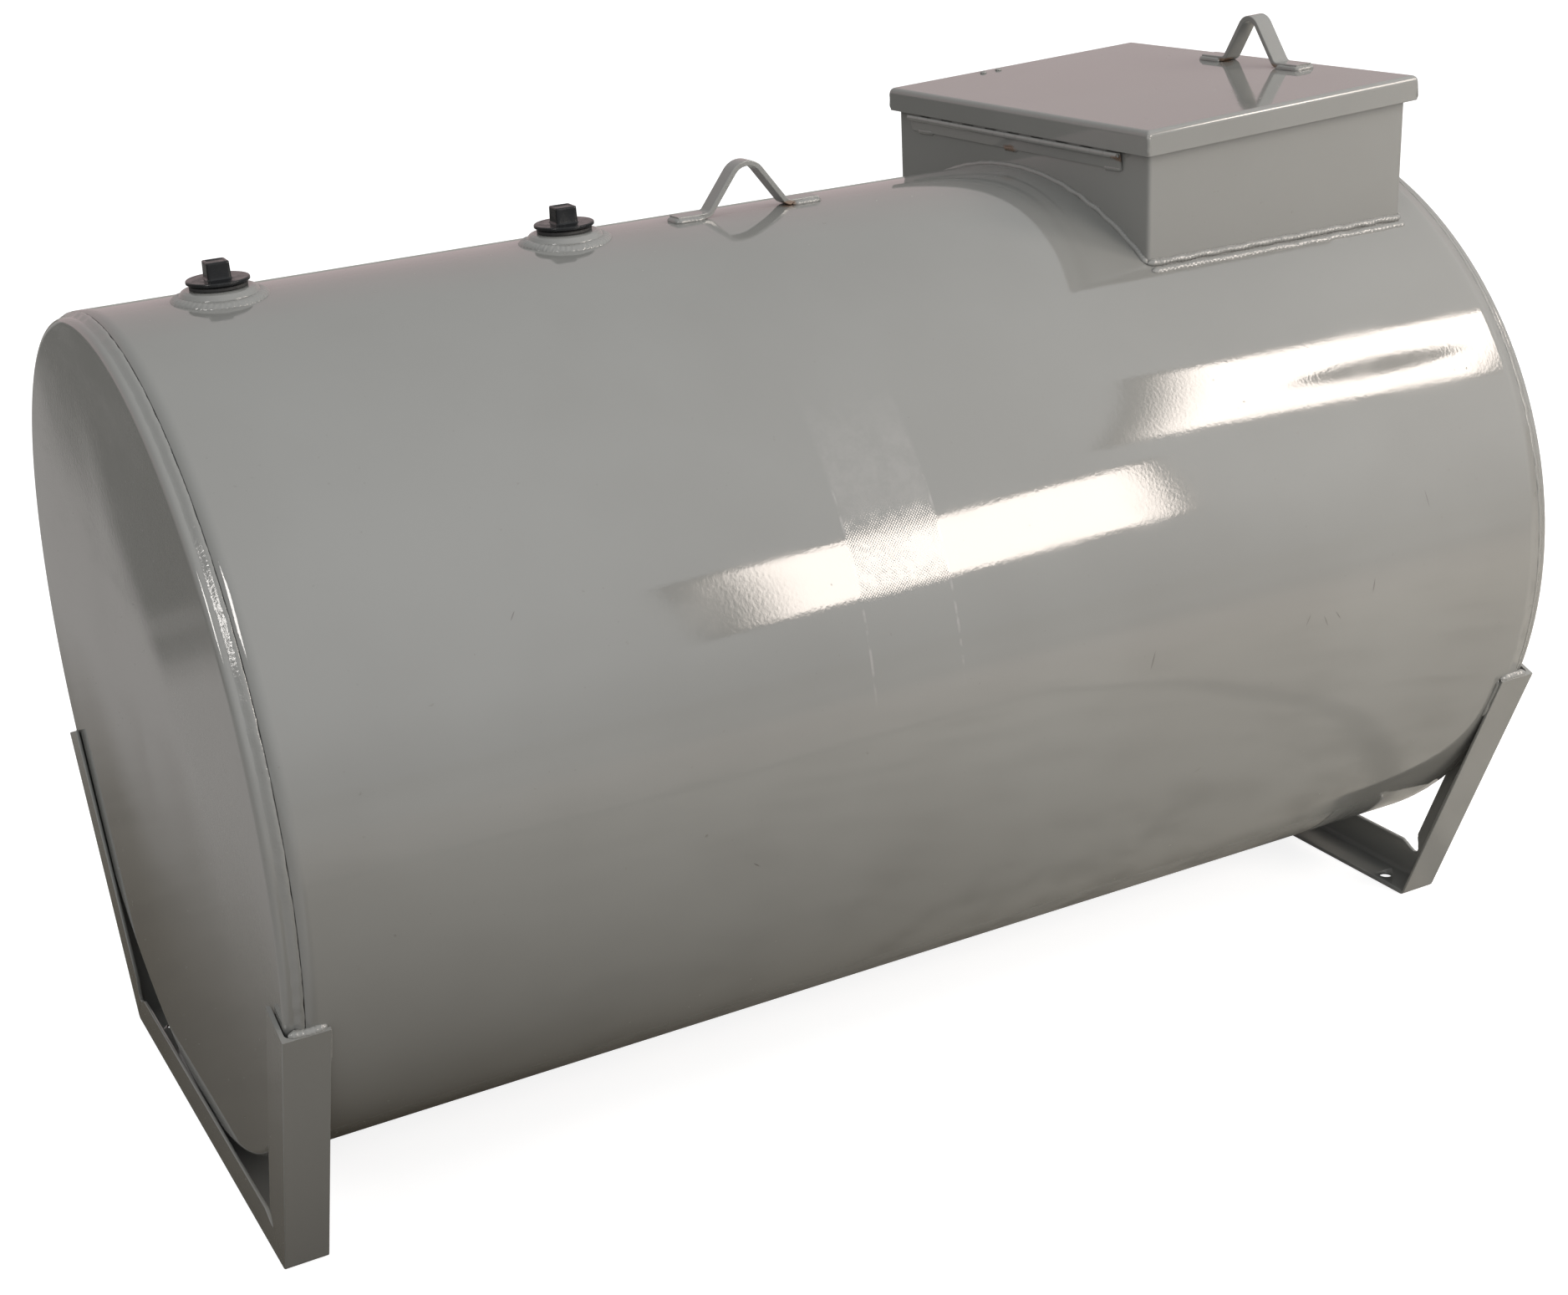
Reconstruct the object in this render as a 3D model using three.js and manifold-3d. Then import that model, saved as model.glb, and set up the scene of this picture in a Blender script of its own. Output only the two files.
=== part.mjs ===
// A horizontal hydraulic reservoir: a rolled steel tank on two welded angle cradles, with two plugged
// ports and a lifting lug along its crest and a lidded compartment over the filler neck.
// Millimetres, +Z up. X runs along the tank, Y across it, and the origin is on the floor under its middle.
import * as THREE from 'three';
import { mergeVertices } from 'three/addons/utils/BufferGeometryUtils.js';
import Module from 'manifold-3d';

// ---------------------------------------------------------------- driving dimensions
// Clearances
const WELD_GAP = 0.3; // left between two pieces that are welded, glued or seated together
const TURN_GAP = 0.4; // radial and end clearance of a piece that turns

// Tank
const TANK_DIAMETER = 965.2;
const TANK_UNDERSIDE = 29.4; // of the tank above the floor
const SHELL_LENGTH = 1579;
const SHELL_WALL = 4.8;
const HEAD_WALL = 4.8;
const HEAD_PROUD = 20.5; // from the shell's edge out to the flat face of a head
const HEAD_FLANGE = 50; // depth of a head's turned rim
const HEAD_KNUCKLE = 8; // outside bend radius of that rim
const BAFFLE_WALL = 3.4;
const BAFFLE_X = 0;
const BAFFLE_FLOW_CUT = 60; // height of the segment left open above and below the baffle

// Cradles, each one bent steel angle
const ANGLE_LEG = 50.8;
const ANGLE_WALL = 4.8;
const ARM_LEAN = THREE.MathUtils.degToRad(22);
const ARM_PAST_TOUCH = 33.83; // length of an arm beyond the line where it touches the tank
const CRADLE_BEND = 9; // outside bend radius at the floor
const CRADLE_STANDOFF = 1.7; // between a head and the angle's upright leg
const NOTCH_MOUTH = 20; // along each inner edge of the upright leg
const NOTCH_FLOOR = 7; // half width of the notch where it stops
const NOTCH_DEPTH = 10;
const FOOT_HOLE_RADIUS = 8.7;
const FOOT_HOLE_SETBACK = 52; // from the bend at the floor to a hole's centre
const FOOT_HOLE_GAUGE = 33; // from the angle's outer face to a hole's centre

// Ports on the crest, for 2 inch pipe thread
const PORT_X = { left: -652.6, centre: -246.9 };
const PORT_BORE_RADIUS = 29.6;
const PORT_PILOT_RADIUS = 35;
const PORT_PILOT_DEPTH = 14; // below the crest
const PORT_RIM_RADIUS = 44;
const PORT_RIM_HEIGHT = 5;
const PORT_TOP_RADIUS = 36;
const PORT_HEIGHT = 10.6;
const PORT_SEAL = { inner: 29.2, outer: 31.5, height: 3.6 };
const PLUG_THREAD_RADIUS = 28.8;
const PLUG_THREAD_LENGTH = 18.5;
const PLUG_CAVITY_RADIUS = 23;
const PLUG_FLANGE_RADIUS = 34.5;
const PLUG_FLANGE_EDGE = 3.4; // height of the flange's rim above its undercut
const PLUG_UNDERCUT = 2.2;
const PLUG_SQUARE = 25;
const PLUG_SQUARE_HEIGHT = 18.5;
const PLUG_SQUARE_CORNER = 2.5;

// Bent flat bar: the lifting lug on the crest, and the handle, which is placed from the middle of the lid
const BAR = { width: 23, wall: 6.4, footBend: 8 };
const LUG = { x: -14.5, length: 186, foot: 41, rise: 63.5, apexBend: 19 };
const HANDLE = { x: 158.4, y: -31, length: 182, foot: 43, rise: 62, apexBend: 13 };

// Compartment on the shell
const BOX_X = 554.5;
const BOX_LENGTH = 377;
const BOX_WIDTH = 535;
const BOX_WALL = 3.4;
const BOX_CORNER = 5;

// Lid: its top is set at the compartment's middle and climbs away from the hinge
const LID_RISE = 80.4; // above the tank's crest
const LID_SLOPE = THREE.MathUtils.degToRad(2.25);
const LID_OVERHANG = 10.3;
const LID_WALL = 3.4;
const LID_SKIRT = 29;
const LID_BEND = 7;
const SEAL_WALL = 5;
const SEAL_WIDTH = 12;
const RIVET = { headRadius: 4.7, headHeight: 2.4, shankRadius: 2.2, tailRadius: 3.4, tailHeight: 1.8 };
const RIVET_PITCH = 24;
const RIVET_X = -52.5; // middle of the pair, from the middle of the lid
const RIVET_SETBACK = 6.6; // from the stay tab's edge
const STAY_TAB = { wall: 2, length: 46, shelf: 16, drop: 24, eye: 3.5 };

// Piano hinge on the compartment's wall
const HINGE_LENGTH = 452;
const HINGE_KNUCKLES = 18;
const HINGE_Y = 7; // its middle, from the middle of the lid
const KNUCKLE_RADIUS = 3.6;
const HINGE_PIN_RADIUS = 1.8;
const HINGE_LEAF_WALL = 1.9;
const HINGE_BELOW_SKIRT = 5.5; // from the skirt's lower edge to the pin
const LID_LEAF_HEIGHT = 24; // from the pin up behind the skirt
const BOX_LEAF_DROP = 16.5; // from the pin down to the weld on the wall

// Filler inside the compartment
const NECK = { radius: 44.45, bore: 39, height: 38, below: 10 };
const STRAINER = { radius: 37.5, wall: 1.2, depth: 120, rimRadius: 43, rimWall: 1.5 };
const FILLER_SEAL = { inner: 36, outer: 43, height: 3 };
const CAP = { wall: 4, skirt: 22, ribs: 12, ribDepth: 2.6, ribWidth: 7 };

// How finely rounds are divided
const TANK_STEPS = 72;
const PORT_STEPS = 32;
const PIN_STEPS = 12;
const BEND_STEPS = 4;
const KNUCKLE_STEPS = 2;

// ---------------------------------------------------------------- places that follow from them
const TANK_RADIUS = TANK_DIAMETER / 2;
const SHELL_BORE = TANK_RADIUS - SHELL_WALL;
const TANK_AXIS_HEIGHT = TANK_UNDERSIDE + TANK_RADIUS;
const CREST = TANK_AXIS_HEIGHT + TANK_RADIUS;
const LID_HEIGHT = CREST + LID_RISE;
const HEAD_RADIUS = SHELL_BORE - WELD_GAP;
const HEAD_FACE = SHELL_LENGTH / 2 + HEAD_PROUD;
const CRADLE_OUTER = HEAD_FACE + CRADLE_STANDOFF + ANGLE_WALL;
const ARM_REACH = TANK_RADIUS + WELD_GAP + ANGLE_WALL; // from the tank's axis to an arm's outer face
const FLOOR_HALF = (ARM_REACH - TANK_AXIS_HEIGHT * Math.sin(ARM_LEAN)) / Math.cos(ARM_LEAN);
const ARM_TOUCH = (TANK_AXIS_HEIGHT - ARM_REACH * Math.sin(ARM_LEAN)) / Math.cos(ARM_LEAN);
const ARM_LENGTH = ARM_TOUCH + ARM_PAST_TOUCH; // along the outer face, from the floor
const LID_HALF_LENGTH = BOX_LENGTH / 2 / Math.cos(LID_SLOPE) + LID_OVERHANG;
const LID_HALF_WIDTH = BOX_WIDTH / 2 + LID_OVERHANG;
const SEAL_TOP = -LID_WALL - WELD_GAP;
const BOX_TOP = SEAL_TOP - SEAL_WALL - WELD_GAP; // the walls' top edge, below the lid's top face
const HINGE_X = -LID_HALF_LENGTH + LID_WALL + WELD_GAP + HINGE_LEAF_WALL - KNUCKLE_RADIUS;
const HINGE_Z = -LID_SKIRT - HINGE_BELOW_SKIRT;

const GREY_PAINT = { color: 0x8f908d, roughness: 0.28, metalness: 0.0 };
const BLACK_PLASTIC = { color: 0x17181a, roughness: 0.3, metalness: 0.0 };
const BLACK_RUBBER = { color: 0x1c1c1c, roughness: 0.8, metalness: 0.0 };
const ZINC_STEEL = { color: 0xa9abac, roughness: 0.4, metalness: 1.0 };

// ---------------------------------------------------------------- solids and how they are laid
const wasm = await Module();
wasm.setup();

const X = new THREE.Vector3(1, 0, 0);
const Y = new THREE.Vector3(0, 1, 0);
const Z = new THREE.Vector3(0, 0, 1);
const LATHE_UPRIGHT = new THREE.Matrix4().makeBasis(X, Z, Y.clone().negate());
const LATHE_ALONG_X = new THREE.Matrix4().makeBasis(Y, X, Z.clone().negate());
const SECTION_IN_YZ = new THREE.Matrix4().makeBasis(Y, Z, X);
const SECTION_IN_XZ = new THREE.Matrix4().makeBasis(X, Z, Y.clone().negate());
const LID_FRAME = new THREE.Matrix4().makeTranslation(BOX_X, 0, LID_HEIGHT)
  .multiply(new THREE.Matrix4().makeRotationY(-LID_SLOPE));

// A closed three.js geometry as a solid that can be joined and cut, its faces turned outward.
function solid(geometry, placement = new THREE.Matrix4()) {
  const bare = geometry.clone().applyMatrix4(placement);
  bare.deleteAttribute('normal');
  bare.deleteAttribute('uv');
  const merged = mergeVertices(bare, 1e-4);
  const corners = merged.index.array;
  const faces = [];
  for (let i = 0; i < corners.length; i += 3) {
    const [a, b, c] = [corners[i], corners[i + 1], corners[i + 2]];
    if (a !== b && b !== c && c !== a) faces.push(a, b, c);
  }
  const vertProperties = new Float32Array(merged.attributes.position.array);
  const outward = enclosedVolume(vertProperties, faces) > 0;
  const triVerts = new Uint32Array(outward ? faces : faces.reverse());
  return new wasm.Manifold(new wasm.Mesh({ numProp: 3, vertProperties, triVerts }));
}

// Six times the signed volume inside a triangle mesh: positive when its faces point out.
function enclosedVolume(positions, faces) {
  const [a, b, c] = [new THREE.Vector3(), new THREE.Vector3(), new THREE.Vector3()];
  let sum = 0;
  for (let i = 0; i < faces.length; i += 3) {
    a.fromArray(positions, faces[i] * 3);
    b.fromArray(positions, faces[i + 1] * 3);
    c.fromArray(positions, faces[i + 2] * 3);
    sum += a.dot(b.cross(c));
  }
  return sum;
}

function geometryOf(manifold) {
  const { vertProperties, triVerts } = manifold.getMesh();
  const geometry = new THREE.BufferGeometry();
  geometry.setAttribute('position', new THREE.BufferAttribute(vertProperties, 3));
  geometry.setIndex(new THREE.BufferAttribute(triVerts, 1));
  return geometry;
}

const at = (x, y, z) => new THREE.Matrix4().makeTranslation(x, y, z);
const block = (x, y, z, centre) => solid(new THREE.BoxGeometry(x, y, z), at(...centre));

// A turned solid from [radius, height] pairs, standing at a place with its axis upright.
function turned(profile, steps, placement = new THREE.Matrix4()) {
  const points = profile.map(([radius, height]) => new THREE.Vector2(radius, height));
  return solid(new THREE.LatheGeometry(points, steps), placement.clone().multiply(LATHE_UPRIGHT));
}

const disc = (radius, bottom, top) => [[0, bottom], [radius, bottom], [radius, top], [0, top]];
const ring = (inner, outer, bottom, top) => [
  [inner, bottom], [outer, bottom], [outer, top], [inner, top], [inner, bottom],
];

// A turned solid about the tank's axis, from [radius, x] pairs.
function turnedAboutTank(profile) {
  const points = profile.map(([radius, x]) => new THREE.Vector2(radius, x));
  const placement = at(0, 0, TANK_AXIS_HEIGHT).multiply(LATHE_ALONG_X);
  return solid(new THREE.LatheGeometry(points, TANK_STEPS), placement);
}

const tankCore = (radius) => turnedAboutTank(disc(radius, -SHELL_LENGTH, SHELL_LENGTH));

function extruded(shape, depth, placement) {
  return solid(new THREE.ExtrudeGeometry(shape, { depth, bevelEnabled: false }), placement);
}

// Points of a quarter or part arc, from one angle to another.
function arc(centre, radius, from, to, steps) {
  return Array.from({ length: steps + 1 }, (_, i) => {
    const angle = from + ((to - from) * i) / steps;
    return new THREE.Vector2(centre[0] + radius * Math.cos(angle), centre[1] + radius * Math.sin(angle));
  });
}

const shapeOf = (points) => new THREE.Shape(points.map((p) => (p.isVector2 ? p : new THREE.Vector2(...p))));

// A line of straight runs with each inner corner bent to its radius, as places with the direction across.
function bentLine(corners, bends) {
  const points = corners.map(([u, v]) => new THREE.Vector2(u, v));
  const headings = points.slice(1).map((point, i) => point.clone().sub(points[i]).normalize());
  const station = (place, heading) => ({ place, across: new THREE.Vector2(-heading.y, heading.x) });
  const line = [station(points[0], headings[0])];
  bends.forEach((radius, i) => {
    const [before, after] = [headings[i], headings[i + 1]];
    const turn = Math.atan2(before.cross(after), before.dot(after));
    const start = points[i + 1].clone().addScaledVector(before, -radius * Math.tan(Math.abs(turn) / 2));
    const { across } = station(start, before);
    const centre = start.clone().addScaledVector(across, radius * Math.sign(turn));
    for (let k = 0; k <= BEND_STEPS; k += 1) {
      const angle = (turn * k) / BEND_STEPS;
      const heading = before.clone().rotateAround(new THREE.Vector2(), angle);
      line.push(station(start.clone().rotateAround(centre, angle), heading));
    }
  });
  line.push(station(points.at(-1), headings.at(-1)));
  return line;
}

// The bent line moved sideways, and the outline of a strip of even wall that it runs down the middle of
const stepAside = (offset) => ({ place, across }) => place.clone().addScaledVector(across, offset);
const beside = (line, offset) => line.map(stepAside(offset));
const strip = (line, wall) => shapeOf([...beside(line, wall / 2), ...beside(line, -wall / 2).reverse()]);

const parts = new THREE.Group();

function piece(name, manifold, material, placement) {
  const mesh = new THREE.Mesh(geometryOf(manifold), new THREE.MeshStandardMaterial(material));
  mesh.name = name;
  if (placement) mesh.applyMatrix4(placement);
  parts.add(mesh);
}

// ---------------------------------------------------------------- tank
function tankShell() {
  const half = SHELL_LENGTH / 2;
  let shell = turnedAboutTank(ring(SHELL_BORE, TANK_RADIUS, -half, half));
  const holes = [
    [PORT_X.left, PORT_PILOT_RADIUS],
    [PORT_X.centre, PORT_PILOT_RADIUS],
    [BOX_X, NECK.radius],
  ];
  for (const [x, radius] of holes) {
    const drill = disc(radius + WELD_GAP, TANK_AXIS_HEIGHT, CREST + SHELL_WALL);
    shell = shell.subtract(turned(drill, PORT_STEPS, at(x, 0, 0)));
  }
  return shell;
}

// A flat head with its rim turned in, so that the rim slides into the shell and the face stands proud.
function tankHead(side) {
  const inside = HEAD_KNUCKLE - HEAD_WALL;
  const knuckle = [HEAD_FACE - HEAD_KNUCKLE, HEAD_RADIUS - HEAD_KNUCKLE];
  const bend = (radius, from, to) => (
    arc(knuckle, radius, from, to, KNUCKLE_STEPS).map(({ x, y }) => [y, side * x]));
  return turnedAboutTank([
    [0, side * HEAD_FACE],
    ...bend(HEAD_KNUCKLE, 0, Math.PI / 2),
    [HEAD_RADIUS, side * (HEAD_FACE - HEAD_FLANGE)],
    [HEAD_RADIUS - HEAD_WALL, side * (HEAD_FACE - HEAD_FLANGE)],
    ...bend(inside, Math.PI / 2, 0),
    [0, side * (HEAD_FACE - HEAD_WALL)],
  ]);
}

// A disc across the tank, cut level above the floor and below the crest so that oil and air pass it.
function bafflePlate() {
  const half = BAFFLE_WALL / 2;
  const height = 2 * (SHELL_BORE - BAFFLE_FLOW_CUT);
  const band = block(2 * BAFFLE_WALL, TANK_DIAMETER, height, [BAFFLE_X, 0, TANK_AXIS_HEIGHT]);
  return turnedAboutTank(disc(SHELL_BORE - WELD_GAP, BAFFLE_X - half, BAFFLE_X + half)).intersect(band);
}

// ---------------------------------------------------------------- cradles
// One angle bent to a trough: its sole lies on the floor and turns up both arms, and its upright leg
// stands outboard, across the head, with an open notch at each bend.
function cradle(side) {
  const [lean, rise] = [Math.sin(ARM_LEAN), Math.cos(ARM_LEAN)];
  // the line that lies inside the outer face by an inset, from one arm's tip to the other's
  const trough = (inset) => {
    const foot = FLOOR_HALF + (inset * (lean - 1)) / rise;
    const tip = [FLOOR_HALF + ARM_LENGTH * lean - inset * rise, ARM_LENGTH * rise + inset * lean];
    return [[-tip[0], tip[1]], [-foot, inset], [foot, inset], tip];
  };
  const middle = ANGLE_WALL / 2;
  const line = bentLine(trough(middle), [CRADLE_BEND - middle, CRADLE_BEND - middle]);
  const sole = strip(line, ANGLE_WALL);
  const leg = shapeOf([...beside(line, -middle).reverse(), ...trough(ANGLE_LEG)]);
  const inward = side > 0 ? CRADLE_OUTER - ANGLE_LEG : -CRADLE_OUTER;
  const upright = side > 0 ? CRADLE_OUTER - ANGLE_WALL : -CRADLE_OUTER;
  let angle = extruded(sole, ANGLE_LEG, at(inward, 0, 0).multiply(SECTION_IN_YZ));
  angle = angle.add(extruded(leg, ANGLE_WALL, at(upright, 0, 0).multiply(SECTION_IN_YZ)));

  // places on the upright leg: how far along the arm or the floor from its inner corner, and how deep
  const [cornerY, cornerZ] = trough(ANGLE_LEG)[2];
  const onArm = (along, deep) => [cornerY + along * lean + deep * rise, cornerZ + along * rise - deep * lean];
  const onFloor = (along, deep) => [cornerY - along, cornerZ - deep];
  const notch = [
    onFloor(NOTCH_MOUTH, 0), onFloor(NOTCH_FLOOR, NOTCH_DEPTH), onArm(NOTCH_FLOOR, NOTCH_DEPTH),
    onArm(NOTCH_MOUTH, 0), onFloor(NOTCH_MOUTH, -NOTCH_MOUTH),
  ];
  const notchPlace = at(upright - ANGLE_WALL, 0, 0).multiply(SECTION_IN_YZ);
  const hole = disc(FOOT_HOLE_RADIUS, -ANGLE_WALL, 2 * ANGLE_WALL);
  const holeX = side * (CRADLE_OUTER - FOOT_HOLE_GAUGE);
  for (const hand of [-1, 1]) {
    const holePlace = at(holeX, hand * (FLOOR_HALF - FOOT_HOLE_SETBACK), 0);
    const notchHere = shapeOf(notch.map(([y, z]) => [hand * y, z]));
    angle = angle.subtract(extruded(notchHere, 3 * ANGLE_WALL, notchPlace));
    angle = angle.subtract(turned(hole, PIN_STEPS, holePlace));
  }
  return angle;
}

// ---------------------------------------------------------------- ports and their plugs
// A domed welding flange: a pilot that drops through the shell, a rim on the shell and a flat top.
function portBung() {
  const shoulder = [(PORT_RIM_RADIUS + PORT_TOP_RADIUS) / 2, (PORT_RIM_HEIGHT + 2 * PORT_HEIGHT) / 3];
  return turned([
    [PORT_BORE_RADIUS, -PORT_PILOT_DEPTH], [PORT_PILOT_RADIUS, -PORT_PILOT_DEPTH], [PORT_PILOT_RADIUS, 0],
    [PORT_RIM_RADIUS, -SHELL_WALL], [PORT_RIM_RADIUS, PORT_RIM_HEIGHT], shoulder,
    [PORT_TOP_RADIUS, PORT_HEIGHT], [PORT_BORE_RADIUS, PORT_HEIGHT], [PORT_BORE_RADIUS, -PORT_PILOT_DEPTH],
  ], PORT_STEPS);
}

function plugSeal() {
  const { inner, outer, height } = PORT_SEAL;
  return turned(ring(inner, outer, PORT_HEIGHT + WELD_GAP, PORT_HEIGHT + WELD_GAP + height), PORT_STEPS);
}

const PLUG_SEAT = PORT_HEIGHT + 2 * WELD_GAP + PORT_SEAL.height;
const PLUG_FLANGE_TOP = PLUG_SEAT + PLUG_UNDERCUT + PLUG_FLANGE_EDGE;

function portPlug() {
  const edge = PLUG_SEAT + PLUG_UNDERCUT;
  const threadEnd = PLUG_SEAT - PLUG_THREAD_LENGTH;
  const body = turned([
    [PLUG_CAVITY_RADIUS, threadEnd], [PLUG_THREAD_RADIUS, threadEnd], [PLUG_THREAD_RADIUS, PLUG_SEAT],
    [PORT_SEAL.outer - WELD_GAP, PLUG_SEAT], [PLUG_FLANGE_RADIUS, edge], [PLUG_FLANGE_RADIUS, PLUG_FLANGE_TOP],
    [0, PLUG_FLANGE_TOP], [0, edge], [PLUG_CAVITY_RADIUS, edge], [PLUG_CAVITY_RADIUS, threadEnd],
  ], PORT_STEPS);
  const square = roundedRectangle(PLUG_SQUARE, PLUG_SQUARE, PLUG_SQUARE_CORNER);
  return body.add(extruded(square, PLUG_SQUARE_HEIGHT + PLUG_FLANGE_EDGE, at(0, 0, edge)));
}

function roundedRectangle(width, height, radius) {
  const [u, v] = [width / 2 - radius, height / 2 - radius];
  const quarter = Math.PI / 2;
  const corners = [[u, v], [-u, v], [-u, -v], [u, -v]];
  const roundOff = (centre, i) => arc(centre, radius, i * quarter, (i + 1) * quarter, BEND_STEPS);
  return shapeOf(corners.flatMap(roundOff));
}

// ---------------------------------------------------------------- bent bar of the lug and the handle
// Two flat feet and a pointed arch with a round apex, in the plane of its length and height.
function bentBar({ length, foot, rise, apexBend }) {
  const low = BAR.wall / 2;
  const arch = length / 2 - foot;
  const slope = Math.atan2(rise, arch);
  const apexMiddle = apexBend + low;
  // the two sides meet in a corner that lies above the bent apex
  const corner = rise - low + apexMiddle * (1 / Math.cos(slope) - 1);
  const corners = [[-length / 2, low], [-arch, low], [0, corner], [arch, low], [length / 2, low]];
  return strip(bentLine(corners, [BAR.footBend + low, apexMiddle, BAR.footBend + low]), BAR.wall);
}

// ---------------------------------------------------------------- compartment
function compartmentBox() {
  const height = LID_HEIGHT - TANK_AXIS_HEIGHT;
  const place = at(BOX_X, 0, TANK_AXIS_HEIGHT);
  const prism = (inset) => extruded(
    roundedRectangle(BOX_LENGTH - 2 * inset, BOX_WIDTH - 2 * inset, BOX_CORNER - inset), height, place);
  const walls = prism(0).subtract(prism(BOX_WALL));
  const aboveWalls = solid(new THREE.BoxGeometry(2 * BOX_LENGTH, 2 * BOX_WIDTH, height),
    LID_FRAME.clone().multiply(at(0, 0, BOX_TOP + height / 2)));
  return walls.subtract(aboveWalls).subtract(tankCore(TANK_RADIUS + WELD_GAP));
}

// A block whose four top edges are rounded, its top face at z = top.
function softTopped(length, width, height, radius, top) {
  const profile = (span) => {
    const half = span / 2;
    return shapeOf([
      [half, top - height],
      ...arc([half - radius, top - radius], radius, 0, Math.PI / 2, BEND_STEPS),
      ...arc([radius - half, top - radius], radius, Math.PI / 2, Math.PI, BEND_STEPS),
      [-half, top - height],
    ]);
  };
  return extruded(profile(length), width, at(0, width / 2, 0).multiply(SECTION_IN_XZ))
    .intersect(extruded(profile(width), length, at(-length / 2, 0, 0).multiply(SECTION_IN_YZ)));
}

const TAB_EDGE = (BOX_WIDTH - BOX_WALL - SEAL_WIDTH) / 2 - TURN_GAP;
const RIVET_Y = TAB_EDGE - RIVET_SETBACK;
const RIVET_PLACES = [-1, 1].map((hand) => [RIVET_X + (hand * RIVET_PITCH) / 2, RIVET_Y]);

function drillForRivets(plate) {
  const drill = disc(RIVET.shankRadius + TURN_GAP, -LID_SKIRT, LID_WALL);
  const drillAt = (drilled, [x, y]) => drilled.subtract(turned(drill, PIN_STEPS, at(x, y, 0)));
  return RIVET_PLACES.reduce(drillAt, plate);
}

function lidPanel() {
  const pan = (inset) => softTopped(
    2 * (LID_HALF_LENGTH - inset), 2 * (LID_HALF_WIDTH - inset), LID_SKIRT, LID_BEND - inset, -inset);
  return drillForRivets(pan(0).subtract(pan(LID_WALL)));
}

function lidSeal() {
  const frame = (grow) => extruded(
    roundedRectangle(BOX_LENGTH - BOX_WALL + grow, BOX_WIDTH - BOX_WALL + grow, BOX_CORNER),
    SEAL_WALL, at(0, 0, SEAL_TOP - SEAL_WALL));
  return frame(SEAL_WIDTH).subtract(frame(-SEAL_WIDTH));
}

const TAB_TOP = -LID_WALL - WELD_GAP;

function stayTab() {
  const { wall, length, shelf, drop, eye } = STAY_TAB;
  const inner = TAB_EDGE - shelf;
  const shelfBlock = block(length, shelf, wall, [RIVET_X, TAB_EDGE - shelf / 2, TAB_TOP - wall / 2]);
  const leg = block(length, wall, drop, [RIVET_X, inner + wall / 2, TAB_TOP - drop / 2]);
  const eyePlace = at(RIVET_X, inner, TAB_TOP - drop + 3 * eye);
  const eyeHole = turned(disc(eye, -shelf, shelf), PIN_STEPS,
    eyePlace.multiply(new THREE.Matrix4().makeRotationX(Math.PI / 2)));
  return drillForRivets(shelfBlock.add(leg).subtract(eyeHole));
}

// A blind rivet: a domed head on the lid, a shank through lid and tab, and a set tail under the tab.
function rivet() {
  const { headRadius, headHeight, shankRadius, tailRadius, tailHeight } = RIVET;
  const tail = TAB_TOP - STAY_TAB.wall - WELD_GAP;
  const dome = arc([0, 0], 1, 0, Math.PI / 2, BEND_STEPS);
  return turned([
    [0, tail - tailHeight], [tailRadius, tail - tailHeight], [tailRadius, tail], [shankRadius, tail],
    [shankRadius, WELD_GAP], ...dome.map(({ x, y }) => [headRadius * x, WELD_GAP + headHeight * y]),
  ], PIN_STEPS);
}

// ---------------------------------------------------------------- piano hinge
const HINGE_PITCH = HINGE_LENGTH / HINGE_KNUCKLES;
const PIN_BORE = HINGE_PIN_RADIUS + TURN_GAP;

// The pin's place in the tank's frame
const hingeAxis = new THREE.Vector3(HINGE_X, HINGE_Y, HINGE_Z).applyMatrix4(LID_FRAME);

// A round of the hinge's barrel, laid along Y between two places.
function barrel(radius, from, to) {
  const placement = at(0, to, 0).multiply(new THREE.Matrix4().makeRotationX(Math.PI / 2));
  return turned(disc(radius, 0, to - from), PIN_STEPS, placement);
}

// A leaf is one plate with a knuckle at every other pitch; the gaps leave room for the other leaf's.
function hingeLeaf(plate, first) {
  const half = TURN_GAP / 2;
  let leaf = plate;
  for (let k = 0; k < HINGE_KNUCKLES; k += 1) {
    const from = -HINGE_LENGTH / 2 + k * HINGE_PITCH;
    const [start, end] = [from + half, from + HINGE_PITCH - half];
    leaf = k % 2 === first
      ? leaf.add(barrel(KNUCKLE_RADIUS, start, end))
      : leaf.subtract(barrel(KNUCKLE_RADIUS + TURN_GAP, start - TURN_GAP, end + TURN_GAP));
  }
  return leaf.subtract(barrel(PIN_BORE, -HINGE_LENGTH, HINGE_LENGTH));
}

// Plate behind the skirt, tangent to the knuckles.
function lidLeafPlate() {
  const inner = KNUCKLE_RADIUS - HINGE_LEAF_WALL / 2;
  return block(HINGE_LEAF_WALL, HINGE_LENGTH - TURN_GAP, LID_LEAF_HEIGHT, [inner, 0, LID_LEAF_HEIGHT / 2]);
}

// Plate that leans from the knuckles in to the wall, where its lower edge is welded.
function boxLeafPlate() {
  const reach = BOX_X - BOX_LENGTH / 2 - WELD_GAP - hingeAxis.x;
  const span = Math.hypot(reach, BOX_LEAF_DROP);
  const length = Math.sqrt(span ** 2 - KNUCKLE_RADIUS ** 2);
  const lean = Math.atan2(reach, BOX_LEAF_DROP) - Math.atan2(KNUCKLE_RADIUS, length);
  const plate = new THREE.BoxGeometry(HINGE_LEAF_WALL, HINGE_LENGTH - TURN_GAP, length);
  const placement = new THREE.Matrix4().makeRotationY(-lean)
    .multiply(at(KNUCKLE_RADIUS - HINGE_LEAF_WALL / 2, 0, -length / 2));
  return solid(plate, placement);
}

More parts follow.
